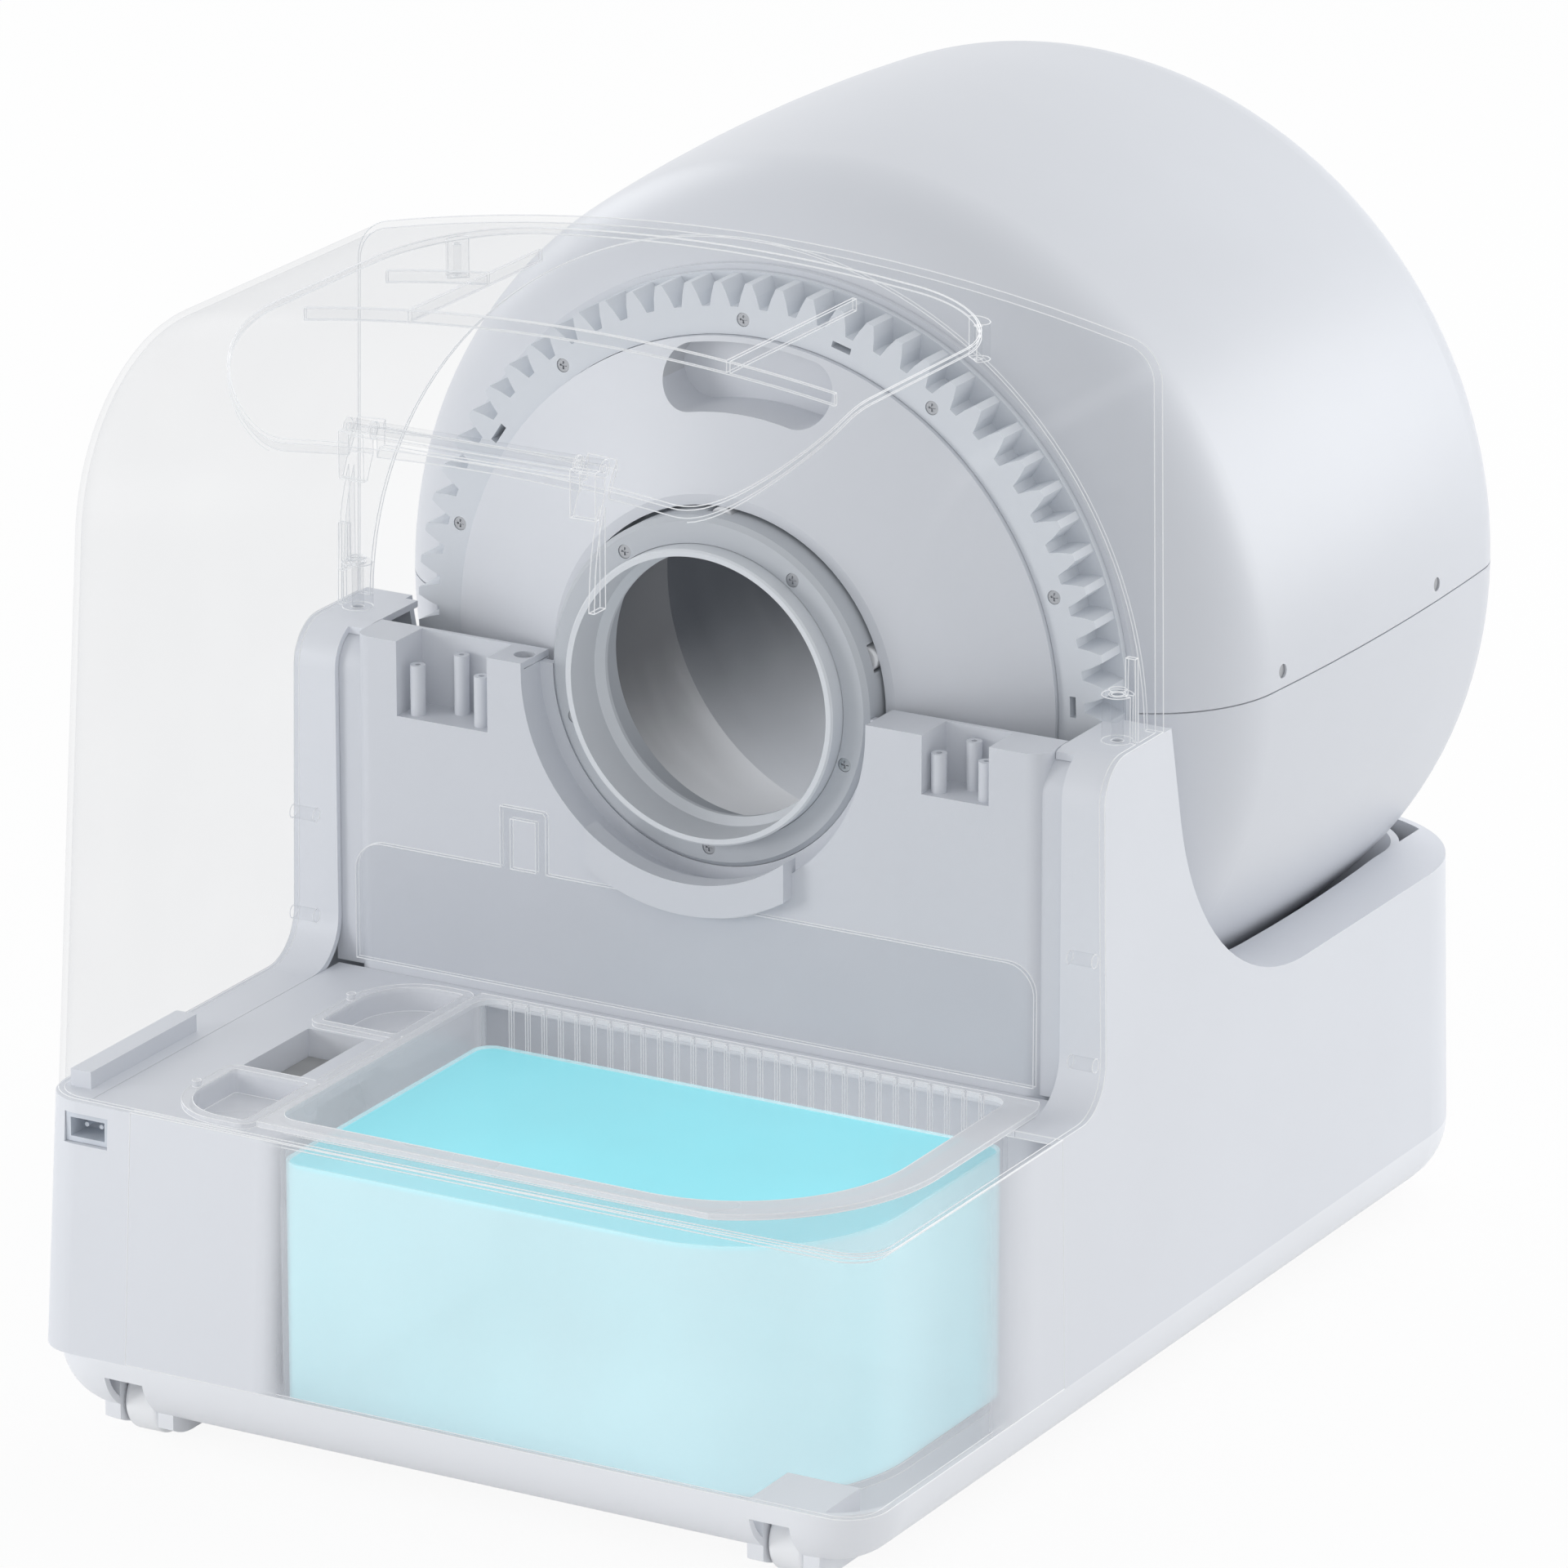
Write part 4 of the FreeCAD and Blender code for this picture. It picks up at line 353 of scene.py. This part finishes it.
class LitterColours(bpy.types.PropertyGroup):
    """Colours of the finishes."""

    body: FloatVectorProperty(name="Body", description="Moulded housing, linear colour",
                              subtype="COLOR", default=(0.765, 0.785, 0.83), min=0, max=1)
    # A darker copy of the body colour: painted shade on the wall in front of the drum
    bulkhead: FloatVectorProperty(name="Bulkhead", description="Wall in front of the drum, linear colour",
                                  subtype="COLOR", default=(0.68, 0.70, 0.745), min=0, max=1)
    pan: FloatVectorProperty(name="Pan", description="Bottom pan, linear colour",
                             subtype="COLOR", default=(0.86, 0.875, 0.91), min=0, max=1)
    # Lighter than the roller colour: painted light on the wheels, which sit in the base's shade
    wheel: FloatVectorProperty(name="Wheel", description="Transport wheels, linear colour",
                               subtype="COLOR", default=(0.94, 0.95, 0.97), min=0, max=1)
    drum: FloatVectorProperty(name="Drum", description="Drum shells and end cap, linear colour",
                              subtype="COLOR", default=(0.69, 0.71, 0.755), min=0, max=1)
    gear: FloatVectorProperty(name="Gear", description="Bull gear and pinion, linear colour",
                              subtype="COLOR", default=(0.70, 0.73, 0.775), min=0, max=1)
    collar: FloatVectorProperty(name="Collar", description="Bearing collar and chute, linear colour",
                                subtype="COLOR", default=(0.54, 0.565, 0.60), min=0, max=1)
    nozzle: FloatVectorProperty(name="Nozzle", description="Waste nozzle, linear colour",
                                subtype="COLOR", default=(0.72, 0.745, 0.78), min=0, max=1)
    roller: FloatVectorProperty(name="Roller", description="Hub and cradle rollers, linear colour",
                                subtype="COLOR", default=(0.82, 0.83, 0.85), min=0, max=1)
    grey: FloatVectorProperty(name="Inner grey", description="Hidden inner pieces, linear colour",
                              subtype="COLOR", default=(0.36, 0.38, 0.41), min=0, max=1)
    veil: FloatVectorProperty(name="Veil", description="Face of the clear pieces, linear colour",
                              subtype="COLOR", default=(0.29, 0.325, 0.385), min=0, max=1)
    haze: FloatVectorProperty(name="Haze", description="Face of the bin, tray and panel, linear colour",
                              subtype="COLOR", default=(0.62, 0.64, 0.68), min=0, max=1)
    # White of the milky zones of the bin and tray, and painted highlight of the edge rods
    line: FloatVectorProperty(name="Line", description="Edges of the clear pieces, linear colour",
                              subtype="COLOR", default=(0.96, 0.97, 1.0), min=0, max=1)
    # Painted shade colour high inside the chute, and the painted light colour low inside it
    painted_inside: FloatVectorProperty(name="Lining", description="Clean inside of the chute, linear colour",
                                subtype="COLOR", default=(0.05, 0.053, 0.06), min=0, max=1)
    painted_light_below: FloatVectorProperty(name="Dust", description="Dusty inside of the chute, linear colour",
                              subtype="COLOR", default=(0.93, 0.945, 0.97), min=0, max=1)
    liner: FloatVectorProperty(name="Liner", description="Waste liner film, linear colour",
                               subtype="COLOR", default=(0.52, 0.83, 0.88), min=0, max=1)
    level: FloatVectorProperty(name="Fill level", description="Sheet at the fill level, linear colour",
                               subtype="COLOR", default=(0.24, 0.71, 0.79), min=0, max=1)
    steel: FloatVectorProperty(name="Steel", description="Screws and pins, linear colour",
                               subtype="COLOR", default=(0.40, 0.41, 0.43), min=0, max=1)
    motor: FloatVectorProperty(name="Motor", description="Motor can, linear colour",
                               subtype="COLOR", default=(0.5, 0.51, 0.53), min=0, max=1)
    window: FloatVectorProperty(name="Window", description="Sensor window, linear colour",
                                subtype="COLOR", default=(0.34, 0.335, 0.325), min=0, max=1)
    # Much lighter than the socket's own dark colour: painted light in the deep, shaded socket
    inlet: FloatVectorProperty(name="Inlet", description="Power inlet, linear colour",
                               subtype="COLOR", default=(0.62, 0.66, 0.72), min=0, max=1)
    rubber: FloatVectorProperty(name="Rubber", description="Feet, linear colour",
                                subtype="COLOR", default=(0.05, 0.052, 0.055), min=0, max=1)
    board: FloatVectorProperty(name="Board", description="Circuit board, linear colour",
                               subtype="COLOR", default=(0.03, 0.16, 0.08), min=0, max=1)
    track: FloatVectorProperty(name="Track", description="Tracks of the circuit board, linear colour",
                               subtype="COLOR", default=(0.10, 0.33, 0.18), min=0, max=1)


class LitterSizes(bpy.types.PropertyGroup):
    """Sizes of the pieces that are added to the part."""

    veil_share: FloatProperty(name="Veil", description="Opacity of one clear face", subtype="FACTOR",
                              default=0.04, min=0, max=1)
    # Half width of the white rods that paint the clear pieces' edge highlights
    highlight_rod_radius: FloatProperty(name="Edge", description="Half width of the clear pieces' edge lines",
                               subtype="DISTANCE", unit="LENGTH", default=0.0003, min=0.0001, max=0.002)
    level_thick: FloatProperty(name="Level sheet", description="Thickness of the fill level's sheet",
                               subtype="DISTANCE", unit="LENGTH", default=0.002, min=0.0005, max=0.01)


# Shapes

WELD = 1e-5
FLAT = 1e-12
EDGE_ANGLE = math.radians(28)
ROD_SIDES = np.array([(0, 1, 5, 4), (1, 2, 6, 5), (2, 3, 7, 6), (3, 0, 4, 7), (3, 2, 1, 0), (4, 5, 6, 7)])
CORNER_SIGNS = np.array([(-1, -1), (1, -1), (1, 1), (-1, 1)])


def sharp_edges(mesh, angle):
    """Both ends of every edge of a mesh of loose triangles where two faces meet at more than the angle.
    Corners that round to the same hundredth of a millimetre are one corner, an edge is a sorted pair of
    corners, and the two faces of an edge are neighbours once all the pairs are in order."""
    points = np.empty(len(mesh.vertices) * 3, np.float32)
    mesh.vertices.foreach_get("co", points)
    points = points.reshape(-1, 3).astype(float)
    mesh.calc_loop_triangles()
    faces = np.empty(len(mesh.loop_triangles) * 3, np.int32)
    mesh.loop_triangles.foreach_get("vertices", faces)
    _, first, shared = np.unique(np.round(points / WELD), axis=0, return_index=True, return_inverse=True)
    corners = points[first]
    faces = shared.reshape(-1)[faces].reshape(-1, 3)
    start, second, third = (corners[faces[:, column]] for column in range(3))
    normals = np.cross(second - start, third - start)
    lengths = np.linalg.norm(normals, axis=1)
    solid = lengths > FLAT
    faces, normals = faces[solid], normals[solid] / lengths[solid, None]
    pairs = np.sort(np.concatenate([faces[:, [0, 1]], faces[:, [1, 2]], faces[:, [2, 0]]]), axis=1)
    owner = np.tile(np.arange(len(faces)), 3)
    order = np.lexsort((pairs[:, 1], pairs[:, 0]))
    pairs, owner = pairs[order], owner[order]
    joined = (pairs[1:] == pairs[:-1]).all(axis=1)
    turn = np.einsum("ij,ij->i", normals[owner[1:]], normals[owner[:-1]])
    return corners[pairs[1:][joined & (turn < math.cos(angle))]]


def rods(edges, radius):
    """A square rod on every edge: its four long corners stand one radius off the edge, along two directions
    at right angles to it and to each other, at its start and at its end."""
    along = edges[:, 1] - edges[:, 0]
    along /= np.linalg.norm(along, axis=1)[:, None]
    helper = np.where(np.abs(along[:, 2:]) < 0.9, (0.0, 0.0, 1.0), (1.0, 0.0, 0.0))
    aside = np.cross(along, helper)
    aside /= np.linalg.norm(aside, axis=1)[:, None]
    across = np.cross(along, aside)
    ring = radius * np.stack([aside, across, -aside, -across], axis=1)
    points = np.concatenate([edges[:, :1] + ring, edges[:, 1:] + ring], axis=1).reshape(-1, 3)
    faces = (8 * np.arange(len(edges))[:, None, None] + ROD_SIDES).reshape(-1, 4)
    return points, faces.tolist()


def corner_outline(low, high, rounds, steps=12):
    """A rectangle with four rounded corners, anticlockwise from the one at low x and low y: a quarter circle
    of each corner's own radius about a centre that far in from both sides."""
    turn = np.linspace(0, math.pi / 2, steps)
    radius = np.array(rounds)[:, None]
    centre = np.where(CORNER_SIGNS > 0, high, low) - CORNER_SIGNS * radius
    angle = math.pi + np.arange(4)[:, None] * math.pi / 2 + turn
    across, along = centre[:, :1] + radius * np.cos(angle), centre[:, 1:] + radius * np.sin(angle)
    return np.stack([across, along], axis=-1).reshape(-1, 2)


def slab(outline, bottom, top, steps=7):
    """An outline carried up a half circle: the edge of the slab is round from bottom to top, and the outline
    draws in towards its middle by the depth of that circle. Flat faces close it below and above."""
    half = (top - bottom) / 2
    turn = np.linspace(-math.pi / 2, math.pi / 2, steps)[:, None]
    middle = outline.mean(axis=0)
    reach = outline - middle
    share = 1 - half * (1 - np.cos(turn)) / np.linalg.norm(reach, axis=1)
    flat = middle + reach * share[:, :, None]
    height = np.broadcast_to(bottom + half * (1 + np.sin(turn)), share.shape)
    points = np.concatenate([flat, height[:, :, None]], axis=2).reshape(-1, 3)
    count = len(outline)
    faces = ring_faces(steps, count).tolist()
    faces.append(list(range(count - 1, -1, -1)))
    faces.append(list(range((steps - 1) * count, steps * count)))
    return points, faces


def ring_faces(rows, count):
    """Quads between rings of points: each ring follows the one before, and its last point meets its first."""
    row, column = np.meshgrid(np.arange(rows - 1) * count, np.arange(count), indexing="ij")
    after = (column + 1) % count
    quads = [row + column, row + after, row + count + after, row + count + column]
    return np.stack(quads, axis=-1).reshape(-1, 4)


# Operators

# Painted shade and light inside: the shaded colour, the lit colour, the depths in metres where the painted
# light starts and is full, and its lean
DRUM_PAINTED_INSIDE = ((0.60, 0.61, 0.63), (0.92, 0.93, 0.95), 0.0, 0.15, 0.0)
SHELL_PAINTED_INSIDE = ((0.12, 0.125, 0.135), (0.90, 0.92, 0.95), 0.0, 0.15, 0.45)
CHUTE_PAINTED_REACH = (-0.02, 0.10, 0.5)
LINER_WALL = 0.0012
LEVEL_GAP = 0.0003
LEVEL_DROP = 0.0008
LEVEL_ROUNDS = (0.010, 0.091, 0.010, 0.010)


def link(name, data):
    made = bpy.data.objects.new(name, data)
    bpy.context.scene.collection.objects.link(made)
    return made


def dress(material, *names):
    for name in names:
        slots = NODES[name].data.materials
        slots.clear()
        slots.append(material)


def nodes_of(slot):
    return [name for name, used in SLOT_OF.items() if used == slot]


def add(name, shape, material, body):
    """A new piece at the origin from points and faces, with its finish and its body."""
    points, faces = shape
    mesh = bpy.data.meshes.new(name)
    mesh.from_pydata(points.tolist(), [], faces)
    mesh.materials.append(material)
    made = link(name, mesh)
    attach(made, body)
    return made


def ghost(*pieces):
    """Clear pieces throw no shadow and pass no coloured light on."""
    for piece in pieces:
        piece.visible_shadow = False
        piece.visible_diffuse = False


class LITTER_OT_moulded(bpy.types.Operator):
    """Satin finishes of the housing, drum, gear, collar, nozzle, rollers, wheels and grey inner pieces."""

    bl_idname = "litter.moulded"
    bl_label = "Moulded plastics"

    def execute(self, context):
        colours = context.scene.litter_colours
        # Inside the drum, its lower shell and the chute: painted shade above and painted light below
        chute_painting = (colours.painted_inside, colours.painted_light_below, *CHUTE_PAINTED_REACH)
        dress(satin("body_satin", colours.body, roughness=0.42, grain=0.04), *nodes_of("body"))
        dress(satin("drum_satin_painted_inside", colours.drum, roughness=0.38, grain=0.03, gloss=0.62, painted_inside=DRUM_PAINTED_INSIDE),
              *nodes_of("drum"))
        # The lower shell and the chute also emit painted light on their lower inside faces
        dress(satin("shell_satin_painted_light", colours.drum, roughness=0.38, grain=0.03, gloss=0.62, painted_inside=SHELL_PAINTED_INSIDE,
                    painted_inner_emission=0.22), "drum_lower_shell")
        # The bulkhead is the body plastic, made darker as painted shade
        dress(satin("bulkhead_painted_shade", colours.bulkhead, roughness=0.45, grain=0.04), "bulkhead")
        dress(satin("gear_plastic", colours.gear, roughness=0.46, grain=0.05), *nodes_of("gear"))
        dress(satin("collar_plastic", colours.collar, roughness=0.40, grain=0.05), *nodes_of("collar"))
        dress(satin("inner_grey", colours.grey, roughness=0.5, grain=0.08), *nodes_of("grey"))
        dress(satin("chute_painted_light", colours.collar, roughness=0.5, grain=0.08, gloss=0.2, painted_inside=chute_painting,
                    painted_inner_emission=0.15), "waste_chute")
        dress(satin("nozzle_plastic", colours.nozzle, roughness=0.45, grain=0.05), "waste_nozzle")
        dress(satin("roller_plastic", colours.roller, roughness=0.3, grain=0.02), *nodes_of("roller"))
        dress(satin("pan_satin", colours.pan, roughness=0.45, grain=0.04), "bottom_pan")
        # Wheels with painted light, lighter than the rollers
        dress(satin("wheel_painted_light", colours.wheel, roughness=0.35, grain=0.02),
              "transport_wheel_left", "transport_wheel_right")
        return {"FINISHED"}


class LITTER_OT_clear(bpy.types.Operator):
    """Clear finish of the cover, lid, splash guard, bin, tray and front panel, and white rods on the clear
    pieces' sharp edges as painted highlights.
    """

    bl_idname = "litter.clear"
    bl_label = "Clear plastics"

    def execute(self, context):
        colours = context.scene.litter_colours
        sizes = context.scene.litter_sizes
        dress(clear_plastic("clear_plastic", colours.veil, veil=sizes.veil_share, rim=0.2, roughness=0.2),
              *nodes_of("clear"))
        dress(clear_plastic("guard_plastic", colours.veil, veil=0.12, rim=0.2, roughness=0.25),
              "splash_guard")
        dress(clear_plastic("panel_plastic", colours.haze, veil=0.12, rim=0.2, roughness=0.3,
                            milk=colours.body, cloud=panel_ends), "front_panel")
        dress(clear_plastic("bin_plastic", colours.haze, veil=0.09, rim=0.3, roughness=0.25,
                            milk=colours.line, cloud=rim_band), "waste_bin")
        dress(clear_plastic("tray_plastic", colours.haze, veil=0.09, rim=0.3, roughness=0.25,
                            milk=colours.line, cloud=tray_wells), "accessory_tray")
        # Painted highlight: white rods along the clear pieces' sharp edges stand for light caught on those
        # edges
        edge = satin("clear_edge_highlight", colours.line, roughness=0.3, grain=0.02)
        for name in nodes_of("clear"):
            shape = rods(sharp_edges(NODES[name].data, EDGE_ANGLE), sizes.highlight_rod_radius)
            ghost(NODES[name], add(name + "_edges", shape, edge, body_of(NODES[name])[0]))
        return {"FINISHED"}


class LITTER_OT_waste(bpy.types.Operator):
    """Tinted film of the liner and the sheet at its fill level, both with painted light from emission."""

    bl_idname = "litter.waste"
    bl_label = "Waste liner"

    def execute(self, context):
        colours = context.scene.litter_colours
        dress(film("liner_film_painted_glow", colours.liner, veil=0.36, painted_glow=0.56), *nodes_of("liner"))
        low, high = (np.array(corner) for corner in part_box("waste_liner"))
        inset = LINER_WALL + LEVEL_GAP
        outline = corner_outline(low[:2] + inset, high[:2] - inset, LEVEL_ROUNDS)
        top = high[2] - LEVEL_DROP
        sheet = slab(outline, top - context.scene.litter_sizes.level_thick, top)
        skin = film("level_film_painted_glow", colours.level, veil=0.75, painted_glow=0.5)
        made = add("fill_level", sheet, skin, "liner")
        ghost(NODES["waste_liner"], made)
        return {"FINISHED"}


class LITTER_OT_fittings(bpy.types.Operator):
    """Finishes of the screws, pins, motor, window, inlet, feet and circuit board."""

    bl_idname = "litter.fittings"
    bl_label = "Fittings"

    def execute(self, context):
        colours = context.scene.litter_colours
        dress(metal("plated_steel", colours.steel, roughness=0.28, scratch=0.2), *nodes_of("steel"))
        dress(metal("motor_can", colours.motor, roughness=0.35, scratch=0.15), *nodes_of("motor"))
        dress(dark_window("sensor_pane", colours.window, roughness=0.3), "sensor_window")
        # Inlet colour lifted as painted light against its socket's shade
        dress(dark_window("inlet_socket_painted_light", colours.inlet, roughness=0.4), "power_inlet")
        dress(rubber("foot_rubber", colours.rubber), *nodes_of("rubber"))
        dress(board("circuit_board", colours.board, colours.track), *nodes_of("board"))
        return {"FINISHED"}


# Studio

CAMERA_PLACE = (2.5277, -4.4646, 2.0198)
CAMERA_BACK = (0.4669, -0.8240, 0.3209)
CAMERA_ANGLE = math.radians(8.48)
CAMERA_SENSOR = 36.0
CAMERA_REACH = 60.0
CLEAR_BOUNCES = 48
CARD_DARK = (0.88, 0.88, 0.88, 1.0)
CARD_LIGHT = (0.92, 0.92, 0.92, 1.0)
CARD_FIBRE_SCALE = 300.0
FLOOR_WHITE = 0.92
FLOOR_RADIUS = 30.0
FLOOR_CORNERS = 96
FLOOR_Z = -0.0005
ROOM_COLOUR = (0.97, 0.985, 1.0, 1.0)
ROOM_STRENGTH = 0.58
LAMP_AIM = Vector((0, 0, 0.3))
# A lamp's name, its place and width in metres, its power in watts, and whether gloss shows it
LAMPS = (
    ("right_lamp", (2.4, 2.7, 1.1), 2.2, 38.0, True),
    ("top_lamp", (0.4, 2.2, 2.8), 3.2, 30.0, False),
    ("left_lamp", (-3.2, 1.7, 1.8), 2.2, 20.0, True),
    ("front_lamp", (-3.0, -3.0, 0.9), 1.8, 50.0, True),
    ("fill_lamp", (2.0, -3.2, 1.8), 1.6, 11.0, False),
)


def facing(place, back):
    """A matrix at a place whose own z axis points along back and whose x axis stays level."""
    back = Vector(back).normalized()
    right = Vector((0, 0, 1)).cross(back).normalized()
    return Matrix.Translation(place) @ Matrix((right, back.cross(right), back)).transposed().to_4x4()


def seen(finish):
    """One for the rays of the camera, of gloss and of clear pieces, and none for the rest."""
    camera, gloss, clear = (finish.node("ShaderNodeLightPath", output=name)
                            for name in ("Is Camera Ray", "Is Glossy Ray", "Is Transmission Ray"))
    return camera.larger(gloss).larger(clear)


class LITTER_OT_stage(bpy.types.Operator):
    """White floor, soft lamps and a camera at the view of the picture."""

    bl_idname = "litter.stage"
    bl_label = "Studio"

    def execute(self, context):
        scene = context.scene
        self.floor()
        scene.world = self.room()
        self.lamps()
        camera = bpy.data.cameras.new("camera")
        camera.sensor_width = CAMERA_SENSOR
        camera.angle = CAMERA_ANGLE
        camera.clip_end = CAMERA_REACH
        made = link("camera", camera)
        made.matrix_world = facing(CAMERA_PLACE, CAMERA_BACK)
        scene.camera = made
        scene.view_settings.view_transform = "Standard"
        scene.cycles.transparent_max_bounces = CLEAR_BOUNCES
        return {"FINISHED"}

    def floor(self):
        """A disc of white card: its shading keeps the shadow, and the rest of it is seen as white."""
        finish = new_finish("floor_card")
        fibre = finish.noise(CARD_FIBRE_SCALE, 3.0)
        card = finish.node("ShaderNodeBsdfDiffuse", None, {"Color": finish.mix(fibre, CARD_DARK, CARD_LIGHT)})
        white = finish.node("ShaderNodeEmission", None, {"Color": WHITE, "Strength": 1.0})
        both = finish.node("ShaderNodeMixShader", None, {0: seen(finish) * FLOOR_WHITE, 1: card, 2: white})
        turn = np.linspace(0, 2 * math.pi, FLOOR_CORNERS, endpoint=False)
        across, along = FLOOR_RADIUS * np.cos(turn), FLOOR_RADIUS * np.sin(turn)
        ring = np.stack([across, along, np.full_like(turn, FLOOR_Z)], axis=1)
        mesh = bpy.data.meshes.new("floor")
        mesh.from_pydata(ring.tolist(), [], [list(range(len(ring)))])
        mesh.materials.append(finish.surface(both, "ShaderNodeOutputMaterial"))
        link("floor", mesh)

    def room(self):
        """An even, pale room that is itself seen as white."""
        finish = Finish(bpy.data.worlds.new("studio"))
        room = finish.node("ShaderNodeBackground", None, {"Color": ROOM_COLOUR, "Strength": ROOM_STRENGTH})
        white = finish.node("ShaderNodeBackground", None, {"Color": WHITE})
        both = finish.node("ShaderNodeMixShader", None, {0: seen(finish), 1: room, 2: white})
        return finish.surface(both, "ShaderNodeOutputWorld")

    def lamps(self):
        for name, place, wide, watts, glossy in LAMPS:
            lamp = bpy.data.lights.new(name, "AREA")
            lamp.shape = "DISK"
            lamp.size = wide
            lamp.energy = watts
            made = link(name, lamp)
            made.matrix_world = facing(place, Vector(place) - LAMP_AIM)
            made.visible_glossy = glossy


class LITTER_PT_panel(bpy.types.Panel):
    """Lists the operators, the colours and the sizes."""

    bl_idname = "LITTER_PT_panel"
    bl_label = "Litter box"
    bl_space_type = "VIEW_3D"
    bl_region_type = "UI"
    bl_category = "Litter box"

    def draw(self, context):
        for step in STEPS:
            self.layout.operator(step.bl_idname)
        for group in (context.scene.litter_colours, context.scene.litter_sizes):
            for name in group.__annotations__:
                self.layout.prop(group, name)


STEPS = (LITTER_OT_moulded, LITTER_OT_clear, LITTER_OT_waste, LITTER_OT_fittings, LITTER_OT_stage)
CLASSES = (LitterColours, LitterSizes, *STEPS, LITTER_PT_panel)


def register():
    for item in CLASSES:
        bpy.utils.register_class(item)
    bpy.types.Scene.litter_colours = PointerProperty(type=LitterColours)
    bpy.types.Scene.litter_sizes = PointerProperty(type=LitterSizes)


def unregister():
    del bpy.types.Scene.litter_sizes
    del bpy.types.Scene.litter_colours
    for item in reversed(CLASSES):
        bpy.utils.unregister_class(item)


def main():
    register()
    for step in STEPS:
        family, name = step.bl_idname.split(".")
        getattr(getattr(bpy.ops, family), name)()


if __name__ == "__main__":
    main()
